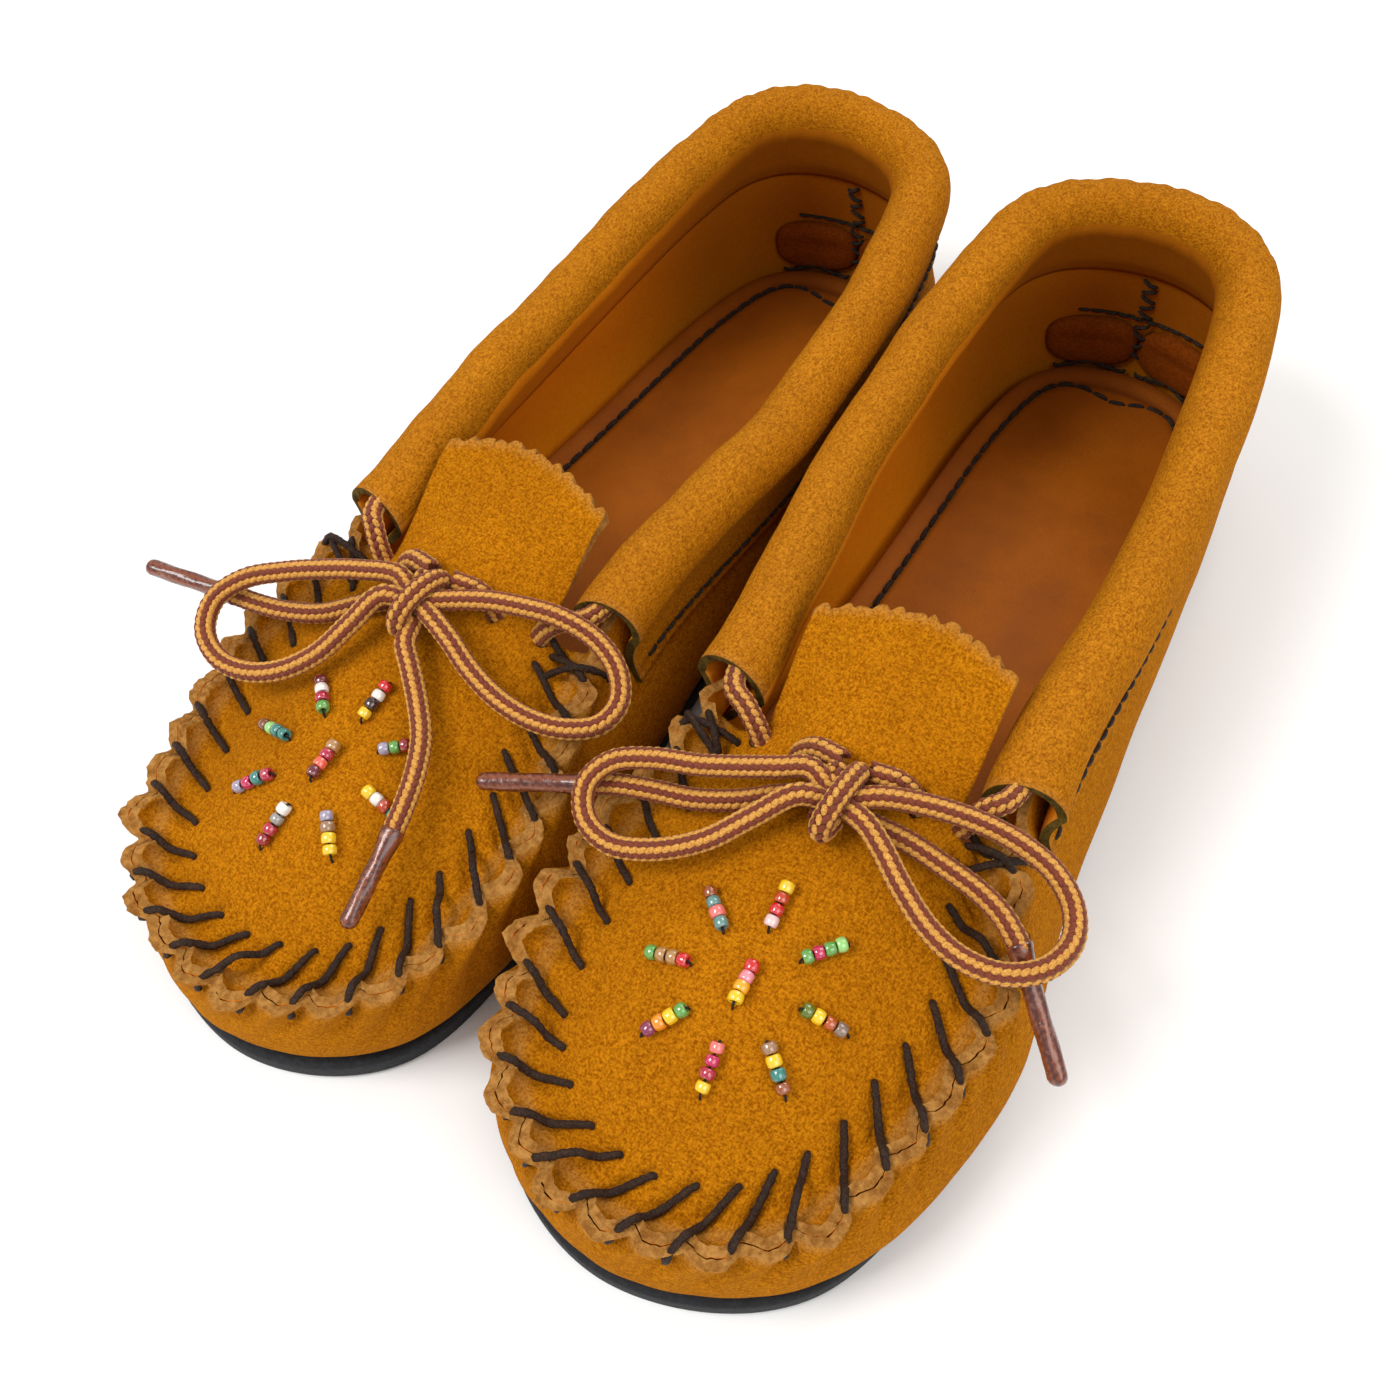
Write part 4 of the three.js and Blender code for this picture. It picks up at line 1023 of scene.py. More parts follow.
def makeBraidRing(diameter, columns, pitch):
    # one turn of stitches round the lace: neighbouring columns lean opposite ways and sit half a pitch apart
    points, faces, gold = [], [], []
    around, rows = 7, 3
    for k in range(columns):
        turn = 2 * math.pi * (k + 0.5) / columns
        lean = math.radians(34) * (1 if k % 2 else -1)
        start = len(points)
        shape = [(0, 0, -1.0)]
        for r in range(rows):
            tilt = math.pi * (r + 1) / (rows + 1) - math.pi / 2
            for a in range(around):
                way = 2 * math.pi * a / around
                shape.append((math.cos(way) * math.cos(tilt), math.sin(way) * math.cos(tilt), math.sin(tilt)))
        shape.append((0, 0, 1.0))
        for sx, sy, sz in shape:
            side, up, along = sx * 0.6 * diameter * math.pi / columns, sy * 0.11 * diameter, sz * 0.78 * pitch
            side, along = (
                side * math.cos(lean) - along * math.sin(lean), side * math.sin(lean) + along * math.cos(lean)
            )
            along += (0.25 if k % 2 else -0.25) * pitch
            angle = turn + side / (diameter / 2)
            radius = 0.4 * diameter + up
            points.append((radius * math.cos(angle), radius * math.sin(angle), along))
            gold.append(float(k % 2))
        for a in range(around):
            b = (a + 1) % around
            faces.append((start, start + 1 + b, start + 1 + a))
            for r in range(rows - 1):
                low = start + 1 + r * around
                faces.append((low + a, low + b, low + around + b, low + around + a))
            top = start + 1 + (rows - 1) * around
            faces.append((top + a, top + b, start + 1 + rows * around))
    mesh = bpy.data.meshes.new("braidRing")
    mesh.from_pydata([[0.001 * c for c in p] for p in points], [], faces)
    mesh.attributes.new("gold", "FLOAT", "POINT").data.foreach_set("value", gold)
    faceOutwards(mesh)
    return makeObject("braidRing", mesh)


braidRing = makeBraidRing(lace["diameter"], lace["columns"], lace["pitch"])


def braidAlong(name, side, paths):
    piece = curvesAlong(name, side, paths)
    pitch, core = 0.001 * lace["pitch"], 0.001 * lace["core"]
    return useTool(piece, braidTool, Ring=braidRing, Pitch=pitch, Core=core, Finish=laceBraid)


def agletAlong(name, side, ends):
    # a film sleeve that narrows from the lace's thickness to a rounded tip, with the braid's stripes showing
    start, tip = (np.array(p, float) for p in ends)
    way = (tip - start) / np.linalg.norm(tip - start)
    length = np.linalg.norm(tip - start)
    across = np.cross(way, (0, 0, 1))
    across /= np.linalg.norm(across)
    up = np.cross(across, way)
    around = 28
    wide, narrow = aglet["startDiameter"] / 2, aglet["endDiameter"] / 2
    places = [-0.4, -0.4, 0.0, 0.4, 1.2, 2.6, 4.2, *np.linspace(5.5, length - 1.6, 26)]
    places += [length - 0.9, length - 0.4, length - 0.1, length]
    points, gold = [], []
    for i, along in enumerate(places):
        radius = narrow + (wide - narrow) * (1 - ease(np.array(along / 5.0)))
        if i == 0:
            radius = 1.2
        if along > length - 1.6:
            radius = narrow * math.sqrt(max(0.03, 1 - ((along - length + 1.6) / 1.62) ** 2))
        for a in range(around):
            angle = 2 * math.pi * a / around
            squeeze = 1 + 0.035 * math.sin(angle * 3 + along * 0.7)
            squeeze += 0.02 * math.sin(angle * 10 + along * 2.2)
            at = start + way * along + (across * math.cos(angle) + up * math.sin(angle)) * radius * squeeze
            points.append(at)
            stripe = math.sin(5 * angle + 0.9 * math.sin(along * 4.4))
            gold.append(0.5 + 0.5 * max(-1, min(1, 2.5 * stripe)))
    points += [start - way * 0.4, tip]
    gold += [0.0, 0.0]
    faces = [f[::-1] for f in gridFaces(len(places), around, closed=True).tolist()]
    first, last = len(points) - 2, len(points) - 1
    for a in range(around):
        b = (a + 1) % around
        faces.append((first, a, b))
        low = (len(places) - 1) * around
        faces.append((last, low + b, low + a))
    piece = skin(name, side, np.array(points), faces, [agletFilm], {"gold": gold})
    faceOutwards(piece.data)
    return piece


def routeInto(points, name):
    # the ends of a loop or tail run on into the knot
    points = [np.array(p, float) for p in points]
    aim = knotCentre + [0, 0, 0.4]
    if name.endswith("loop"):
        first, last = points[0] * 0.35 + aim * 0.65, points[-1] * 0.35 + aim * 0.65
        return [first] + points + [last]
    return [points[0] * 0.45 + aim * 0.55 - [0, 0, 0.8]] + points


def makeBows(side):
    body = f"{side}_shoe"
    ends = {}
    for part, points in bows[side].items():
        if part.endswith("_end"):
            name = f"{side}_{part.replace('_end', '_aglet')}"
            ends[part.replace("_end", "_tail")] = piece = agletAlong(f"{name}_film", side, points)
            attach(piece, body)
            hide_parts(name)
    for part, points in bows[side].items():
        if part.endswith("_end"):
            continue
        path = smoothPath(routeInto(points, part), 0.5)
        if part.endswith("tail"):
            tip = np.array(bows[side][part.replace("_tail", "_end")][0], float)
            path = np.vstack([path, tip])
        piece = braidAlong(f"{side}_{part}_braid", side, [path])
        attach(piece, body)
        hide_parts(f"{side}_bow_{part}")


for side in sides:
    makeBows(side)
print("bows laid")

# ---- knot and the held stretch of the lace

knot = {"reachY": 6.2, "reachZ": 4.2, "tilt": 0.18, "lowest": 49.2}


def makeKnot(side):
    # a turn of lace drawn tight round the bow, and the end that is tucked back behind it
    name, body = f"{side}_knot", f"{side}_shoe"
    lean = 1 if side == "left" else -1
    turn = np.radians(np.linspace(-115, 250, 40))
    share = np.linspace(0, 1, 40)
    ring = np.stack([
        lean * (-1.2 + 2.4 * share + 0.5 * np.sin(turn)),
        knotCentre[1] + 0.2 + knot["reachY"] * np.cos(turn),
        knotCentre[2] - 0.2 + knot["reachZ"] * np.sin(turn),
    ], axis=1)
    ring[:, 0] += lean * knot["tilt"] * (ring[:, 1] - knotCentre[1])
    ring[:, 2] = np.maximum(ring[:, 2], knot["lowest"])
    _, y, z = knotCentre
    tuck = [
        (lean * -3.4, y + 5.2, z - 1.6), (lean * -2.9, y + 5.2, z), (lean * -2.0, y + 4.4, z + 1.2),
        (lean * -0.8, y + 2.6, z + 1.4), (lean * 0.4, y + 0.8, z + 0.4),
    ]
    piece = braidAlong(f"{name}_braid", side, [smoothPath(ring[::2], 0.5), smoothPath(tuck, 0.5)])
    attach(piece, body)
    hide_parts(name)


def wallMiddle(u):
    return loopPoint(topEdge, u) - outwardOf(topEdge, u) * leather / 2


def leanWith(x):
    # the inner stretch follows the inner side's lean beyond the outer slit
    return innerLean["turn"] * min(1, max(0, (x - 20) / 5))


def makeHeldLace(side):
    # braided where it shows, a plain core inside the collar
    name = f"{side}_lace"
    tunnel = np.linspace(mouthEnd, 1 + mouthStart, 90)
    hidden = wallMiddle(tunnel) + [0, 0, fitGap + 0.2 + lace["diameter"] / 2]
    inner = [(-x - leanWith(x), y, z) for x, y, z in standingRoute]
    outer = [(x, y, z) for x, y, z in standingRoute]
    toInner = smoothPath(inner + hidden[::-1][2:14:3].tolist(), 0.5)
    toOuter = smoothPath(outer + hidden[2:14:3].tolist(), 0.5)
    shown = braidAlong(f"{name}_braid", side, [toInner, toOuter])
    core = useTool(
        curvesAlong(f"{name}_run", side, [hidden[10:-10]]), threadTool,
        Thickness=0.001 * lace["diameter"], Step=0.004, Corners=10, Taper=0.0, Finish=laceBraid,
    )
    for piece in (shown, core):
        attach(piece, f"{side}_shoe")
    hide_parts(name)
    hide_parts(name)


for side in sides:
    makeKnot(side)
    makeHeldLace(side)
print("knots and held laces made")

# ---- the leather cup and its sole

wrapPlan = {
    "seamStep": 0.75, "backStep": 1.8, "backLength": 390, "floorRings": [0.0, 0.25, 0.5, 0.75, 0.94],
    "wallRings": [
        0.008, 0.03, 0.07, 0.12, 0.18, 0.25, 0.32, 0.4, 0.48, 0.56, 0.63, 0.69, 0.745, 0.79, 0.83, 0.865,
        0.895, 0.92, 0.942, 0.96, 0.975, 0.988, 1.0,
    ],
}


def wrapPlaces():
    seam = uAtSeam(np.linspace(0, seamLength, int(seamLength / wrapPlan["seamStep"])))
    count = int(wrapPlan["backLength"] / wrapPlan["backStep"])
    return np.concatenate([seam, np.linspace(seamEnd, 1 + seamStart, count)[1:-1] % 1])


def holdSuede(piece, side, name):
    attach(piece, f"{side}_shoe")
    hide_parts(name)


def makeWrap(side):
    # from the middle of the floor out to the feather line, then up the wall to its gathered edge
    name, places = f"{side}_bottom_wrap", wrapPlaces()
    count = len(places)
    rows, rub, groove, steer = [], [], [], []
    edge, out, way = loopPoint(feather, places), outwardOf(topEdge, places), slantWay[side]
    for share in wrapPlan["floorRings"]:
        rows.append(edge * [share, share, 1])
        rub.append(np.zeros(count))
        groove.append(np.zeros(count))
        steer.append(0 * out)
    high = wallHeightAt(places)
    distance = seamAtU(places)
    seam = seamFade(distance)
    for share in wrapPlan["wallRings"]:
        drop = (1 - share) * high
        rows.append(wallSurface(places, drop, way))
        steer.append(-out * (seam * bell(drop, 8.0))[:, None])
        rub.append(seam * bell(drop, 1.2) * 0.8)
        # painted shade in the valleys where the stitches pull the edge in, and along the foot of the wall
        # where it meets the sole
        tight = (1 - lobe(overWall(distance, drop, way))) ** 3
        groove.append(seam * tight * bell(drop, 6.0) * 0.4 + 0.5 * bell(share, 0.03))
    points = np.vstack(rows)
    marks = {"rub": np.concatenate(rub), "groove": np.clip(np.concatenate(groove), 0, 1)}
    marks.update(steerMarks(side, points, np.vstack(steer)))
    faces = gridFaces(len(rows), count, closed=True)
    piece = skin(name + "_suede", side, points, faces, [suede, insideSuede, cutEdge], marks, weld=True)
    holdSuede(thicken(piece, leather, innerFinish=1, rimFinish=2), side, name)


def slabRows(outside, low, high, rounding, across):
    # rows of an outline slab with rounded edges, from the middle of its underside to the middle of its top
    rows = [(share, outside - rounding, low) for share in across]
    for start, level, way in ((-90, low, 1), (0, high, -1)):
        for turn in np.radians(np.linspace(start, start + 90, 5)):
            reach, rise = rounding * math.cos(turn), rounding * (1 + way * math.sin(turn))
            rows.append((1, outside - rounding + reach, level + way * rise))
    return rows + [(share, outside - rounding, high) for share in across[::-1]]


plainRows = (0.0, 0.35, 0.7, 0.93)


def makeSlab(
    name, side, outside, low, high, rounding, finish,
    count=300, shape=None, across=plainRows, marks=None, toeExtra=0.0,
):
    places = np.arange(count) / count
    edge, out = loopPoint(feather, places), outwardOf(feather, places)
    rows = []
    forward = toeExtra * toeShare(edge[:, 1:2])
    for share, offset, z in slabRows(outside, low, high, rounding, across):
        rows.append((edge + out * (offset + forward)) * [share, share, 0] + [0, 0, z])
    points = np.vstack(rows)
    if shape is not None:
        points = shape(points)
    faces = gridFaces(len(rows), count, closed=True)
    made = skin(name, side, points, faces, [finish], marks(points) if marks else None, weld=True)
    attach(made, f"{side}_shoe")
    return made


def makeSole(side):
    piece = makeSlab(
        f"{side}_outsole_rubber", side, sole["lip"], 0.0, sole["thickness"], sole["edgeRound"], crepeRubber,
        toeExtra=sole["toeLip"] - sole["lip"],
    )
    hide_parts(f"{side}_outsole")


def nearFeather(points):
    # plan distance inside the feather line
    line = loopPoint(feather, np.arange(720) / 720)[:, :2]
    return np.array([np.sqrt(((line - p) ** 2).sum(1).min()) for p in points[:, :2]])


footbed = {"inset": leather + 0.9, "thickness": 1.2, "stitchInset": 7.8, "cup": 1.0, "press": 0.45}


def makeFootbed(side):
    # the sock liner, cupped at its rim, with the pressed line of its seam
    top = footbedZ

    def shaped(points):
        inward = nearFeather(points) - footbed["inset"]
        upper = points[:, 2] > top - 0.6
        rise = footbed["cup"] * bell(inward, 3.0)
        press = -footbed["press"] * bell(inward + footbed["inset"] - footbed["stitchInset"], 0.9)
        soft = 0.3 * waves(points, 34, 9) * ease(inward / 8)
        points = points.copy()
        points[:, 2] += np.where(upper, rise + press + soft, 0)
        return points

    def marks(points):
        inward = nearFeather(points)
        seam = bell(inward - footbed["stitchInset"], 1.0)
        # painted shadow over the back of the foot bed, cast by the heel
        paintedHeelShade = 0.35 * ease((points[:, 1] - 70) / 50)
        # painted shade along the foot bed's edge against the wall
        corner = 0.5 * np.exp(-((inward - footbed["inset"]) / 1.2))
        return {"groove": np.clip(0.5 * seam + paintedHeelShade + corner, 0, 1)}

    across = (0, 0.15, 0.3, 0.45, 0.58, 0.68, *np.linspace(0.72, 0.985, 20))
    piece = makeSlab(
        f"{side}_sock_liner_leather", side, -footbed["inset"], top - footbed["thickness"], top, 0.4,
        footbedLeather, 260, shaped, across, marks,
    )
    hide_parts(f"{side}_sock_liner")
    pad = makeSlab(
        f"{side}_insole_pad_foam", side, -footbed["inset"], baseZ + leather + 0.25, top - 1.45, 0.6,
        insoleFoam, 160,
    )
    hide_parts(f"{side}_insole_pad")


for side in sides:
    makeWrap(side)
    makeSole(side)
    makeFootbed(side)
print("wraps, soles and foot beds made")

# ---- the apron with its tongue

slits = {"inner": (11.3, -40.3, 1.6, 2.9), "outer": (20.6, -38.1, 1.7, 2.7)}
apronPlan = {"seamStep": 0.75, "tongueRows": 40, "teeth": 3.35, "toothDepth": 1.5}
rowSpans = ((0, 0.2, 8), (0.215, 0.45, 15), (0.465, 1.0, 46))
acrossRows = np.concatenate([np.linspace(*span) for span in rowSpans])


def makeApron(side):
    name = f"{side}_apron"
    count = int(seamLength / apronPlan["seamStep"])
    seam = np.linspace(0, 1, count)
    way = slantWay[side]
    rows = [apronPoint(seam, np.full(count, share), way) for share in acrossRows]
    points = np.vstack(rows)
    faces = gridFaces(len(rows), count).tolist()
    _, rim, out, distance = apronBase(np.tile(seam, len(rows)), np.repeat(acrossRows, count))
    inward = np.linalg.norm((points - rim)[:, :2], axis=1)
    steer = out * (bell(inward, 3.5) * seamFade(distance))[:, None]
    shifted = distance - way * lacing["slantIn"] * inward / lacing["holeInset"]
    # painted shade in the valleys where the stitches pull the ridge in
    tight = (1 - lobe(shifted)) ** 3 * bell(inward, 6.5) * seamFade(distance) * 0.5
    # each stitch goes down into a hole, shown as a small spot of painted shade
    nearest = np.abs(shifted[:, None] - stitchAt[None, :]).min(axis=1)
    hole = np.exp(-((nearest / 0.75) ** 2) - ((inward - lacing["holeInset"]) / 0.85) ** 2)
    tight = np.maximum(tight, hole)
    rub = bell(inward, 1.0) * 0.8
    # the tongue goes on from the two end lines of the apron, column by column
    usable = np.flatnonzero(np.abs(np.array([row[0, 0] for row in rows])) <= tongue["baseWidth"] / 2 + 0.4)
    leftLine = [int(r) * count for r in usable]
    rightLine = [int(r) * count + count - 1 for r in usable][::-1]
    base = leftLine + rightLine[1:]
    baseAt = points[base]
    width = len(base)
    sideways = baseAt[:, 0] / (tongue["baseWidth"] / 2)
    made, teethRub = [], []
    for k in range(1, apronPlan["tongueRows"] + 1):
        back = k / apronPlan["tongueRows"]
        made.append(tonguePoint(baseAt, sideways, back))
        teethRub.append(np.full(width, 0.7 * bell((1 - back) * tongue["length"], 0.9)))
    added = len(points) + np.arange(len(made) * width).reshape(-1, width)
    points = np.vstack([points] + made)
    grid = np.vstack([base, added])
    for a, b in zip(grid[:-1], grid[1:]):
        faces += [[int(a[i]), int(a[i + 1]), int(b[i + 1]), int(b[i])] for i in range(width - 1)]
    faces = cutSlits(points, faces)
    groove = np.concatenate([tight, np.zeros(len(points) - len(tight))])
    rub = np.concatenate([rub, np.concatenate(teethRub)])
    marks = {"rub": rub, "groove": groove}
    marks.update(steerMarks(side, points, np.vstack([steer, np.zeros((len(points) - len(steer), 3))])))
    faces = [f[::-1] for f in faces]
    piece = skin(name + "_suede", side, points, faces, [suede, insideSuede, cutEdge], marks, weld=True)
    faceUp(piece)
    piece = thicken(piece, leather, innerFinish=1, rimFinish=2)
    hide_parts(name, f"{side}_tongue")
    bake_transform(piece)
    return len(piece.data.polygons)


def tonguePoint(baseAt, across, back):
    # the tongue lifts from the instep, droops at its sides and ends in a pinked arc
    widening = (tongue["tipWidth"] - tongue["baseWidth"]) * math.sin(back * math.pi / 2)
    half = (tongue["baseWidth"] + widening) / 2
    edge = np.clip(np.abs(across), 0, 1.02)
    x = across * half
    reach = back * (tongue["length"] + tongue["tipArc"] * (1 - edge**2))
    y = baseAt[:, 1] + reach
    flat = baseAt[:, 2].max() - 1.4 * edge**2
    z = baseAt[:, 2] + (flat - baseAt[:, 2]) * tongue["flatten"] * ease(np.array(back * 1.1))
    z = z + tongue["rise"] * back**1.3
    z += 0.5 * np.sin(across * 3.1 + 0.6) * back + 0.35 * np.sin(back * 5 + across * 2.0) * back
    # pinking: the outline's distance along the edge sets the teeth
    along = runningLength(np.stack([x, y], axis=1))
    along = along + 0.45 * np.sin(along * 0.9) + 0.25 * np.sin(along * 2.3 + 1)
    tooth = np.abs(np.sin(np.pi * along / apronPlan["teeth"])) ** 0.7 * (1 + 0.3 * np.sin(along * 1.3))
    y = y + apronPlan["toothDepth"] * tooth * back**14
    return np.stack([x, y, z], axis=1)


def cutSlits(points, faces):
    # two slits on each side, where the lace goes under the apron and comes out again
    faces = np.array(faces)
    for x, y, rx, ry in slits.values():
        for sign in (-1, 1):
            away = np.hypot((points[:, 0] - sign * x) / rx, (points[:, 1] - y) / ry)
            keep = away[faces].mean(axis=1) > 1
            gone = np.unique(faces[~keep])
            faces = faces[keep]
            rimPoints = np.intersect1d(gone, np.unique(faces))
            centre = np.array([sign * x, y])
            step = points[rimPoints, :2] - centre
            points[rimPoints, :2] = centre + step / away[rimPoints][:, None]
    return faces.tolist()


def faceUp(piece):
    # turn the single surface so that its faces look up before it gets its thickness
    up = sum(p.normal.z * p.area for p in piece.data.polygons)
    if up < 0:
        piece.data.flip_normals()


print("aprons and tongues made", [makeApron(side) for side in sides], "faces")

# ---- collar

tunnelHalf, tunnelHeight, legShare = collar["rollWidth"] / 2 - leather, collar["rollHeight"] - leather, 0.3


def skived(over):
    # the inner leg is pared thin towards its lower edge
    return collar["skive"] + (1 - collar["skive"]) * ease((1 - np.asarray(over, float)) / 0.1)


def collarPoint(u, over, offset):
    # over runs from the outer leg's lower edge 0 over the crest to the inner leg's lower edge 1
    out = outwardOf(topEdge, u)
    if over <= legShare or over >= 1 - legShare:
        outer = over <= legShare
        share = (over if outer else 1 - over) / legShare
        drop = (collar["outerDrop"] if outer else collar["innerDrop"]) * (1 - share)
        full = 1 if outer else skived(over)
        away = fitGap + offset * full + (tunnelHalf - leather / 2 - fitGap) * share**2
        made = wallBelow(u, np.full(len(u), drop)) + out * (away if outer else -leather - away)
    else:
        angle = (over - legShare) / (1 - 2 * legShare) * math.pi
        made = wallMiddle(u) + out * (tunnelHalf + offset) * math.cos(angle)
        made[:, 2] += (tunnelHeight + offset) * math.sin(angle)
    # soft lumps and slanting drag lines in the roll, flatter towards the two open mouths
    crest = math.sin(min(1, max(0, (over - 0.12) / 0.76)) * math.pi)
    along = np.minimum(np.abs((u - mouthEnd) % 1), np.abs((mouthStart - u) % 1)) * collar["around"]
    made = made + out * (crest * 0.45 * waves(made, 24, 21))[:, None]
    drag = np.sin(along * 0.34 + over * 5.0) * 0.22 + np.sin(along * 0.83 - over * 4.0 + 1) * 0.12
    made[:, 2] += crest * (0.4 * waves(made, 30, 22) + drag)
    flat = bell(along, 10.0)
    made[:, 2] -= 2.0 * crest * flat
    made = made + out * (flat * crest * 1.6 * np.cos(over * math.pi))[:, None]
    return made


def makeCollar(side):
    name = f"{side}_collar"
    places = np.linspace(mouthEnd, 1 + mouthStart, 420)
    overs = np.concatenate([np.linspace(0, 0.3, 13), np.linspace(0.32, 0.68, 25), np.linspace(0.7, 1, 11)])
    rows = [collarPoint(places, over, leather) for over in overs]
    points = np.vstack(rows)
    count = len(places)
    end = np.tile(np.minimum(np.arange(count), np.arange(count)[::-1]), len(overs))
    rub = np.maximum(0.14 * np.repeat(bell(overs - 0.5, 0.12), count), 0.5 * bell(end, 1.2))
    seam = 0.6 * bell(np.repeat(overs, count) - collar["seamPlace"], 0.012)
    thin = np.repeat(np.where(overs < 0.5, 1, skived(overs)), count)
    # painted shade, darker from just past the crest down the inner leg
    shade = np.repeat(0.3 * ease((overs - 0.56) / 0.14), count)
    marks = {"rub": rub, "groove": np.maximum(seam, shade), "thin": thin}
    faces = [f[::-1] for f in gridFaces(len(rows), count).tolist()]
    piece = skin(name + "_suede", side, points, faces, [suede, insideSuede, dyedEdge], marks)
    lining = np.repeat(overs[:-1] > 0.66, count - 1)
    piece.data.polygons.foreach_set("material_index", lining.astype(np.int32))
    faceUp(piece)
    holdSuede(thicken(piece, leather, innerFinish=1, rimFinish=2), side, name)


for side in sides:
    makeCollar(side)
print("collars made")

# ---- threads

seamLooks = {
    "collarPitch": 3.3, "collarDash": 2.5, "collarThickness": 0.85,
    "footbedPitch": 4.6, "footbedDash": 3.7, "footbedThickness": 1.15,
    "heelPitch": 3.0, "heelThickness": 0.95,
}


def holdThread(piece, side, *nodes):
    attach(piece, f"{side}_shoe")
    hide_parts(*nodes)


def thread(name, side, paths, thickness, finish=None, step=0.5, taper=0.3, corners=8):
    return useTool(
        curvesAlong(name, side, paths), threadTool, Thickness=0.001 * thickness, Step=0.001 * step,
        Corners=corners, Taper=taper, Finish=finish or waxedThread,
    )


def sew(name, side, lines, thickness):
    holdThread(thread(name + "_stitches", side, lines, thickness, sewingThread, 0.4), side, name)


def dashes(path, out, pitch, dash, lift, sink):
    # running stitches: each rises from its hole, lies on the surface and goes down again
    distance = runningLength(path)
    made = []
    for start in np.arange(0.5, distance[-1] - dash, pitch):
        at = start + dash * np.array([-0.06, 0.0, 0.08, 0.3, 0.5, 0.7, 0.92, 1.0, 1.06])
        rise = [-sink, -0.4 * sink, 0.6 * lift, lift]
        height = np.array([*rise, lift * 1.1, *rise[::-1]])
        sway = rng.uniform(-0.12, 0.12)
        line = np.stack([np.interp(at, distance, path[:, k]) for k in range(3)], axis=1)
        side = np.stack([np.interp(at, distance, out[:, k]) for k in range(3)], axis=1)
        across = np.cross(line[-1] - line[0], side[4])
        across /= np.linalg.norm(across)
        made.append(line + side * height[:, None] + across * sway * np.linspace(-1, 1, 9)[:, None])
    return made


def stitchPath(distance, way):
    # one whip stitch: up out of the wall, straight over both edges of the ridge, and down into its hole
    hole = lacing["holeInset"] + rng.uniform(-lacing["sway"], lacing["sway"])
    slant = 1 + 0.3 * np.exp(-(((distance / seamLength - 0.5) / 0.16) ** 2))
    outAt = np.clip(distance - way * slant * lacing["slantOut"], 0, seamLength)
    inAt = np.clip(distance + way * slant * lacing["slantIn"], 0, seamLength)
    u = np.array([uAtSeam(outAt)])
    out = outwardOf(topEdge, u)[0]
    foot = wallSurface(u, np.array([lacing["outerDrop"]]), way)[0]
    far = onApron(inAt / seamLength, hole, 0.6, way)
    ends = foot + out * 0.5, far
    over = np.clip(distance - way * lacing["valley"], 0, seamLength)
    crest = wallSurface(np.array([uAtSeam(over)]), np.zeros(1), way) + apronPoint(over / seamLength, 0.0, way)
    crest = 0.5 * crest[0]
    # the plan stays straight; the height follows the leather under the thread
    middle = float(np.dot(crest[:2] - ends[0][:2], ends[1][:2] - ends[0][:2]))
    middle = np.clip(middle / float(np.dot(ends[1][:2] - ends[0][:2], ends[1][:2] - ends[0][:2])), 0.2, 0.45)
    points = [foot - out * 0.9 + [0, 0, -0.3]]
    for share, height in ((0.0, 0.1), (0.3 * middle, 0.8), (0.62 * middle, 1.05), (middle, 1.1)):
        plan = ends[0] + (ends[1] - ends[0]) * share
        plan[2] = foot[2] + (crest[2] + 0.7 - foot[2]) * height
        points.append(plan)
    top = points[-1]
    for share in (0.35, 0.7, 0.92):
        plan = top + (ends[1] - top) * share
        ground = onApron((distance + (inAt - distance) * share) / seamLength, hole * share, 0.7, way)
        plan[2] = ground[2] + 0.25 * math.sin(share * math.pi)
        points.append(plan)
    points += [far - [0, 0, 0.2], far - [0, 0, 1.6]]
    return smoothPath(points, 0.5)


def onApron(along, inward, lift, way):
    # a point on the apron at a plan distance inside the ridge, found on the fold that it lies on
    across = np.linspace(0, 0.6, 120)
    line = apronPoint(np.full(120, along), across, way)
    rim = apronBase(np.full(1, along), np.zeros(1))[1][0]
    away = np.linalg.norm((line - rim)[:, :2], axis=1)
    away = np.maximum.accumulate(away)
    at = np.array([np.interp(inward, away, line[:, k]) for k in range(3)])
    return at + [0, 0, lift]


def makeApronLacing(side):
    name = f"{side}_apron_lacing"
    way = slantWay[side]
    paths = [stitchPath(d, way) for d in stitchAt]
    # the two ends are made fast with a crossed stitch
    for d, ahead in ((stitchAt[0], 1), (stitchAt[-1], -1)):
        for k, slip in ((0, 4.5), (1, -4.5)):
            middle = np.clip(d + ahead * 1.5, 0, seamLength)
            u = np.array([uAtSeam(middle)])
            below = np.array([uAtSeam(np.clip(middle + slip / 2, 0, seamLength))])
            low = (wallSurface(below, np.array([3.0]), way) + outwardOf(topEdge, u) * 0.6)[0]
            top = 0.5 * (wallSurface(u, np.zeros(1), way) + apronPoint(middle / seamLength, 0.0, way))[0]
            top += [0, 0, 1.2 + 0.9 * k]
            inner = onApron(np.clip(middle - slip / 2, 0, seamLength) / seamLength, 5.0, 0.4, way)
            paths.append(smoothPath([low - [0, 0, 1.2], low, top, inner, inner - [0, 0, 1.4]], 0.5))
    piece = thread(name + "_thread", side, paths, lacing["thickness"], step=0.45, taper=0.35, corners=9)
    roughen(piece, 0.11, 1.2)
    holdThread(piece, side, name)


def roughen(piece, amount, size):
    # waxed sinew is never quite round
    mesh = piece.data
    points, normals = readSurface(mesh)
    points += normals * (0.001 * amount * waves(points * 1000, size, 31))[:, None]
    mesh.vertices.foreach_set("co", points.ravel())
    mesh.update()


def makeCollarThread(side):
    name = f"{side}_collar_thread"
    u = np.linspace(mouthEnd, 1 + mouthStart, 500)[3:-3]
    path = collarPoint(u, collar["seamPlace"], leather)
    lines = dashes(path, outwardOf(topEdge, u), seamLooks["collarPitch"], seamLooks["collarDash"], 0.28, 0.7)
    sew(name, side, lines, seamLooks["collarThickness"])


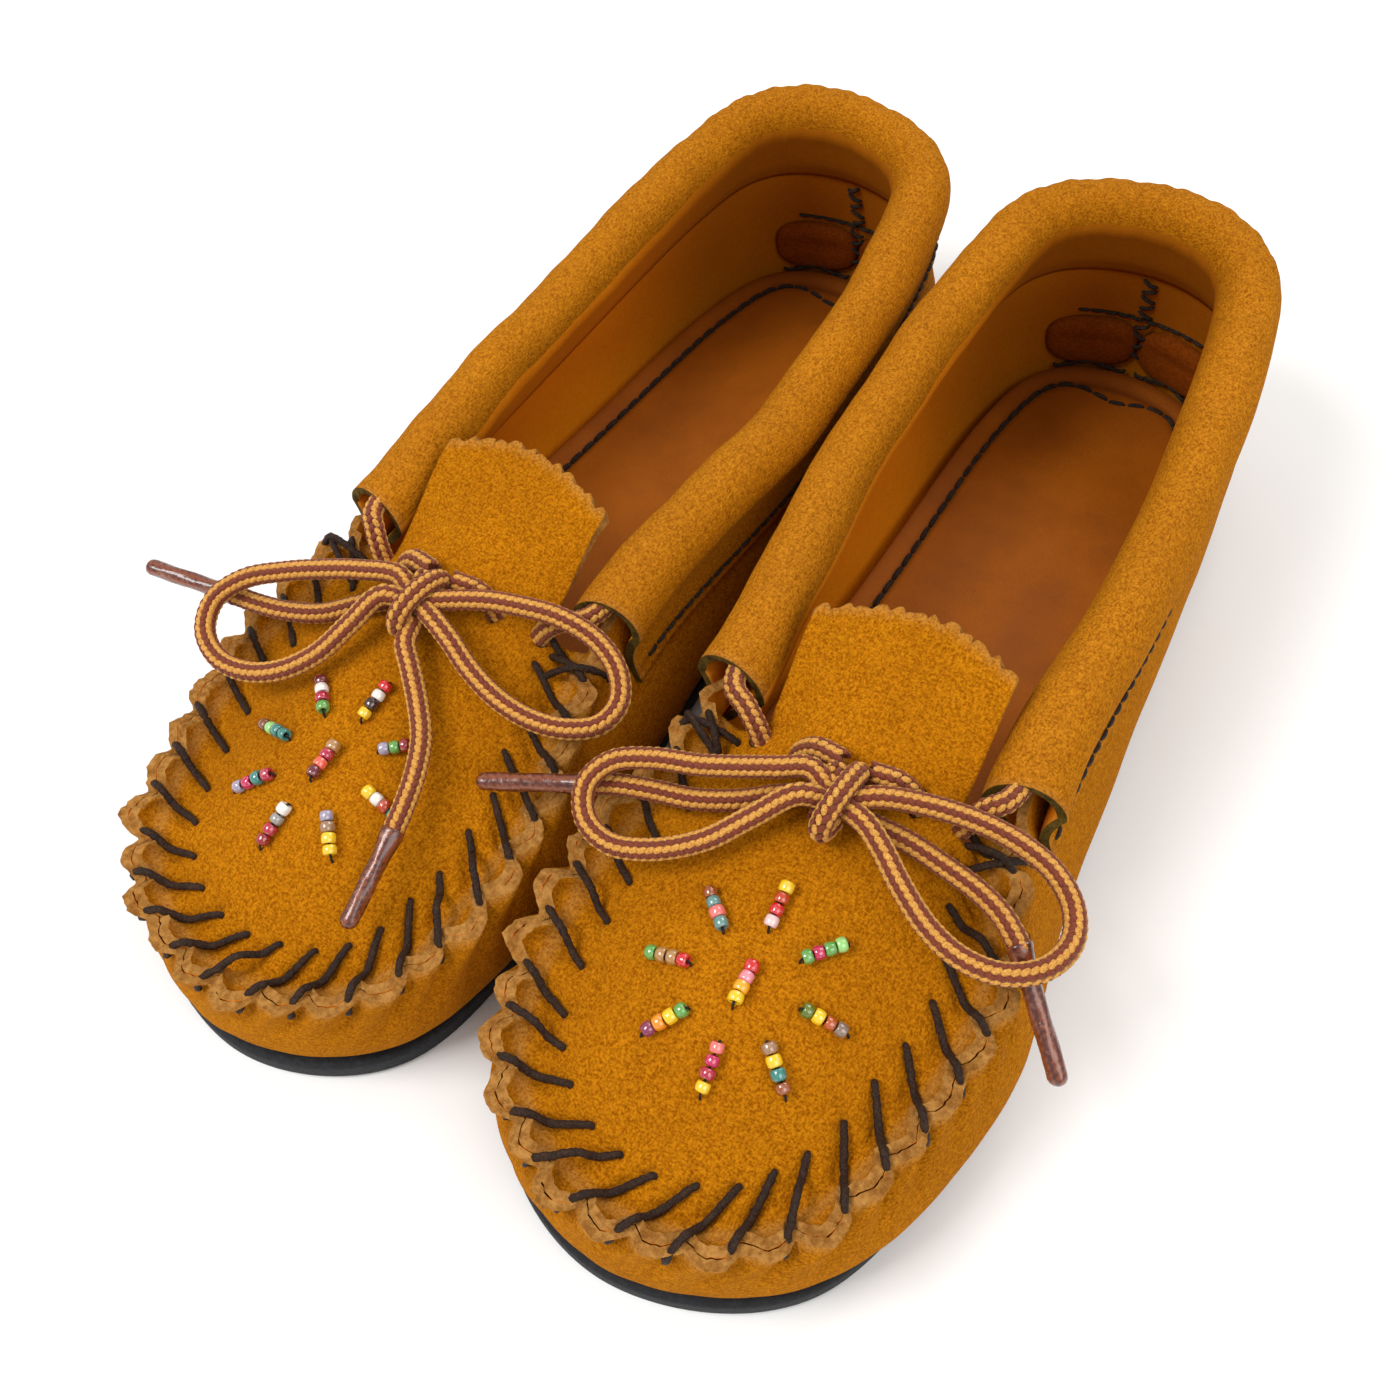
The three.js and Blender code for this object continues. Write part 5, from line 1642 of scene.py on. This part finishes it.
def makeFootbedThread(side):
    name = f"{side}_footbed_thread"
    u = np.linspace(-0.43, 0.43, 700)
    inset = footbed["stitchInset"] + 5.0 * bell(u, 0.035)
    path = loopPoint(feather, u) - outwardOf(feather, u) * inset[:, None]
    path[:, 2] = footbedZ - footbed["press"] + 0.1
    up = np.tile([0.0, 0.0, 1.0], (len(u), 1))
    lines = dashes(path, up, seamLooks["footbedPitch"], seamLooks["footbedDash"], 0.45, 0.8)
    sew(name, side, lines, seamLooks["footbedThickness"])


for side in sides:
    makeApronLacing(side)
    makeCollarThread(side)
    makeFootbedThread(side)
print("threads sewn")

# ---- inside the heel

heelTab = {"width": 20.0, "height": 14.0, "thickness": 3.4, "clearance": 0.5, "squareness": 0.72}
heelRate = float(np.linalg.norm(loopPoint(topEdge, 0.01) - loopPoint(topEdge, -0.01)) / 0.02)


def insideWall(aside, z, inside):
    # aside is a distance in mm round the inner face of the back wall
    u = np.asarray(aside, float) / heelRate
    face = wallAtHeight(u, np.broadcast_to(z, u.shape))
    return face - outwardOf(topEdge, u) * (leather + inside)[:, None]


def makeHeelTabs(side):
    # two rounded folds of the back strip, pressed against the wall side by side
    name = f"{side}_heel_tab"
    points, faces = [], []
    rings, around = 12, 44
    for centre in (-1, 1):
        start = len(points)
        for back in (0, 1):
            for r in range(rings + 1):
                share = math.sin(r / rings * math.pi / 2)
                for a in range(around):
                    turn = 2 * math.pi * a / around
                    c, s = math.cos(turn), math.sin(turn)
                    dx = squared(c, heelTab["squareness"]) * share * (heelTab["width"] / 2 - 0.15)
                    dz = squared(s, heelTab["squareness"]) * share * heelTab["height"] / 2
                    z = footbedZ + 0.3 + heelTab["height"] / 2 + dz
                    across = centre * heelTab["width"] / 2 + dx
                    puff = heelTab["thickness"] * (1 - share**3.0) ** 0.45
                    fold = 0.5 * math.exp(-(((dz - 1.5) / 1.6) ** 2)) * (1 - share**2)
                    depth = heelTab["clearance"] + (0 if back else max(0.02, puff - fold))
                    points.append(insideWall([across], z, np.array([depth]))[0])
        size = (rings + 1) * around
        front = gridFaces(rings + 1, around, closed=True, start=start)
        rear = gridFaces(rings + 1, around, closed=True, start=start + size)[:, ::-1]
        faces += front.tolist() + rear.tolist()
        outer, back = start + rings * around, start + size + rings * around
        for a in range(around):
            b = (a + 1) % around
            faces.append([outer + a, outer + b, back + b, back + a])
    groove = np.zeros(len(points))
    marks = {"rub": groove, "groove": groove + 0.25}
    piece = skin(name + "_suede", side, np.array(points), faces, [heelLeather], marks, weld=True)
    faceOutwards(piece.data)
    holdSuede(piece, side, name)


def makeBackSeam(side):
    # a zigzag up the back seam, a bar across it over the folds, and the seam that holds the folds' lower edge
    name = f"{side}_back_seam_thread"
    low, high = footbedZ + heelTab["height"] + 1.6, shoe["heelHeight"] - collar["innerDrop"] - 0.8
    paths = []
    for i, z in enumerate(np.arange(low - 11, high, seamLooks["heelPitch"])):
        depth = 0.35 if z > low - 1 else heelTab["thickness"] * 0.55
        sway = rng.uniform(-0.3, 0.3)
        ends = [
            (-1.5, z, depth - 0.7), (-1.2, z + 0.1, depth), (0, z + 0.6 + sway, depth + 0.35),
            (1.2, z + 1.3, depth), (1.5, z + 1.4, depth - 0.7),
        ]
        turn = -1 if i % 2 else 1
        paths.append(np.vstack([insideWall([turn * x], h, np.array([d])) for x, h, d in ends]))
    for way in (-1, 1):
        places = np.linspace(0, 15, 30)
        bar = insideWall(way * places, low + 0.15 * places / 3, np.full(30, 0.3))
        paths += dashes(bar, -outwardOf(topEdge, way * places / heelRate), 3.2, 2.6, 0.3, 0.5)
        places = np.linspace(1.0, 19.0, 40)
        dip = footbedZ + 0.55 + 1.2 * np.abs(np.sin(np.pi * places / 20)) ** 6
        foot = insideWall(way * places, dip, np.full(40, heelTab["thickness"] * 0.75))
        paths += dashes(foot, -outwardOf(topEdge, way * places / heelRate), 3.0, 2.6, 0.4, 0.5)
    sew(name, side, [smoothPath(p, 0.4) for p in paths], seamLooks["heelThickness"])


for side in sides:
    makeHeelTabs(side)
    makeBackSeam(side)
print("heels finished")

# ---- beads

bead = {"diameter": 2.7, "hole": 1.0, "length": 2.0, "perStrand": 4, "stringThickness": 0.5}
beadStar = {"centreReach": 45.5, "innerRadius": 10.2, "rays": 8, "turn": 4.0}
glass = {
    "amber": (150, 74, 22), "tealGrey": (96, 142, 136), "salmon": (238, 116, 110), "yellow": (246, 200, 24),
    "orangeRed": (190, 60, 16), "red": (208, 22, 30), "pinkWhite": (240, 198, 196), "green": (96, 160, 72),
    "goldBrown": (176, 128, 70), "lightGreen": (152, 212, 120), "magenta": (196, 24, 84),
    "pink": (240, 140, 156),
    "orangeYellow": (246, 170, 20), "purple": (136, 44, 84), "orange": (240, 142, 18), "olive": (92, 112, 20),
    "orangeBrown": (182, 80, 20), "smoky": (136, 112, 98), "crimson": (178, 18, 58), "bronze": (158, 118, 84),
    "teal": (48, 128, 118), "maroon": (110, 22, 34), "white": (238, 232, 224), "blackMaroon": (50, 20, 22),
    "brown": (128, 70, 34), "lilac": (160, 150, 170), "darkRed": (148, 22, 28), "coral": (236, 96, 76),
    "grey": (150, 146, 142),
}
# colours from the inner end of each strand to the outer; strand 1 lies across the middle, tip to heel
beadRows = {
    "left": [
        ("yellow", "orangeYellow", "pink", "red"),
        ("olive", "yellow", "orangeBrown", "smoky"),
        ("green", "magenta", "green", "lightGreen"),
        ("pinkWhite", "red", "orangeRed", "yellow"),
        ("tealGrey", "salmon", "tealGrey", "amber"),
        ("red", "goldBrown", "goldBrown", "green"),
        ("green", "yellow", "orange", "purple"),
        ("salmon", "magenta", "crimson", "yellow"),
        ("bronze", "yellow", "teal", "amber"),
    ],
    "right": [
        ("maroon", "coral", "crimson", "goldBrown"),
        ("teal", "teal", "lightGreen", "brown"),
        ("green", "crimson", "white", "maroon"),
        ("yellow", "blackMaroon", "white", "red"),
        ("lilac", "green", "darkRed", "lightGreen"),
        ("yellow", "white", "orangeRed", "teal"),
        ("lilac", "bronze", "yellow", "yellow"),
        ("white", "grey", "crimson", "darkRed"),
        ("crimson", "teal", "magenta", "lilac"),
    ],
}


def makeBeadShape():
    # a rounded ring, like a cut and tumbled glass cane
    around, rings = 18, 10
    points, faces = [], []
    wide, hole, half = 0.5 * bead["diameter"], 0.5 * bead["hole"], 0.5 * bead["length"]
    for r in range(rings):
        turn = 2 * math.pi * r / rings
        radius = (wide + hole) / 2 + (wide - hole) / 2 * squared(math.cos(turn), 0.9)
        z = half * squared(math.sin(turn), 0.75)
        for a in range(around):
            way = 2 * math.pi * a / around
            points.append((0.001 * radius * math.cos(way), 0.001 * radius * math.sin(way), 0.001 * z))
    for r in range(rings):
        for a in range(around):
            b, q = (a + 1) % around, (r + 1) % rings
            faces.append((r * around + a, r * around + b, q * around + b, q * around + a))
    mesh = bpy.data.meshes.new("beadShape")
    mesh.from_pydata(points, [], faces)
    mesh.polygons.foreach_set("use_smooth", [True] * len(faces))
    return makeObject("beadShape", mesh)


def apronGround():
    share = np.linspace(0, 1, 160)
    along, across = np.meshgrid(share, np.linspace(0.25, 1, 60))
    return apronPoint(along.ravel(), across.ravel())


ground = apronGround()


def onGround(x, y):
    near = np.argsort((ground[:, 0] - x) ** 2 + (ground[:, 1] - y) ** 2)[:6]
    weight = 1 / (0.05 + (ground[near, 0] - x) ** 2 + (ground[near, 1] - y) ** 2)
    return float((ground[near, 2] * weight).sum() / weight.sum())


def makeBeads(side, shape):
    centre = np.array([-1.0, toeY + beadStar["centreReach"]])
    length = bead["perStrand"] * bead["length"]
    strands = [(centre - [0, length / 2], math.pi / 2)]
    for k in range(beadStar["rays"]):
        angle = math.radians(beadStar["turn"]) + 2 * math.pi * k / beadStar["rays"]
        ray = np.array([math.cos(angle), math.sin(angle)])
        strands.append((centre + beadStar["innerRadius"] * ray, angle))
    at, aim, size, tints, threads = [], [], [], [], []
    for row, (start, angle) in enumerate(strands):
        sway = rng.uniform(-0.06, 0.06)
        way = np.array([math.cos(angle + sway), math.sin(angle + sway)])
        first, last = onGround(*start), onGround(*(start + way * length))
        for k in range(bead["perStrand"]):
            share = (k + 0.5) / bead["perStrand"]
            spot = start + way * length * share
            scale = rng.uniform(0.92, 1.06)
            z = max(first + (last - first) * share, onGround(*spot) - 0.1)
            z += bead["diameter"] / 2 * scale + 0.1
            at.append([*spot, z])
            tilt = rng.uniform(-0.12, 0.12)
            slope = (last - first) / length + rng.uniform(-0.08, 0.08)
            aim.append([way[0] - way[1] * tilt, way[1] + way[0] * tilt, slope])
            size.append([scale, scale, rng.uniform(0.9, 1.04)])
            tints.append(srgb(*glass[beadRows[side][row][k]]))
        reach = [-0.5, -0.35, -0.1, length / 2, length + 0.1, length + 0.35, length + 0.5]
        ends = [start + way * r for r in reach]
        rise = [-0.9, 0.2, 1.1, 1.45, 1.1, 0.2, -0.9]
        threads.append(smoothPath([[*p, onGround(*p) + h] for p, h in zip(ends, rise)], 0.3))
    at = np.array(at)
    tip = toWorld(side, at + np.array(aim)) - toWorld(side, at)
    tip /= np.linalg.norm(tip, axis=1, keepdims=True)
    spin = rng.uniform(0, 6, len(at))
    points = pointsAt(f"{side}_beads_glass", toWorld(side, at), aim=tip, size=size, spin=spin, tint=tints)
    piece = useTool(points, scatterTool, Piece=shape, Finish=beadGlass)
    string = thread(f"{side}_beads_string", side, threads, bead["stringThickness"], sewingThread, 0.3, 0.2, 6)
    nodes = [f"{side}_bead_strand_{i + 1}" for i in range(len(strands))]
    for made in (piece, string):
        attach(made, f"{side}_shoe")
        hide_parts(*nodes)


beadShape = makeBeadShape()
for side in sides:
    makeBeads(side, beadShape)
for template in (beadShape, braidRing):
    bpy.data.objects.remove(template)
print("beads strung")

# ---- floor and light

studio = {
    "floor": 1.6,
    "lamps": [
        # name, place, aim, size, watts
        ("key", (-0.45, -0.55, 0.95), (0.0, 0.0, 0.03), 0.5, 9.0),
        ("fill", (0.75, -0.35, 0.7), (0.0, 0.0, 0.03), 0.7, 4.0),
        ("back", (0.1, 0.8, 0.8), (0.0, 0.0, 0.03), 0.6, 4.0),
    ],
}


def makeStudio():
    world = bpy.data.worlds.new("studioLight")
    world.use_nodes = True
    sky = world.node_tree.nodes["Background"]
    sky.inputs["Color"].default_value = (1.0, 0.985, 0.96, 1)
    sky.inputs["Strength"].default_value = 0.62
    bpy.context.scene.world = world
    for name, place, aim, size, power in studio["lamps"]:
        lamp = bpy.data.lights.new(name, "AREA")
        lamp.energy, lamp.size = power, size
        made = makeObject(name, lamp)
        made.location = place
        made.rotation_euler = (Vector(place) - Vector(aim)).to_track_quat("Z", "Y").to_euler()
    half = studio["floor"]
    mesh = bpy.data.meshes.new("floor")
    corners = [(x * half, y * half, -0.0002) for x, y in ((-1, -1), (1, -1), (1, 1), (-1, 1))]
    mesh.from_pydata(corners, [], [(0, 1, 2, 3)])
    paper, tree, shader, vector = newFinish("palePaper", 0.9, specular=0.1)
    body = mixColour(tree, noise(tree, vector, 6, 2, 0.5), (0.86, 0.86, 0.86, 1), (0.9, 0.9, 0.89, 1))
    feed(tree, shader.inputs["Base Color"], body)
    mesh.materials.append(paper)
    makeObject("floor", mesh)
    bpy.context.scene.view_settings.view_transform = "Standard"


makeStudio()
print("studio set")
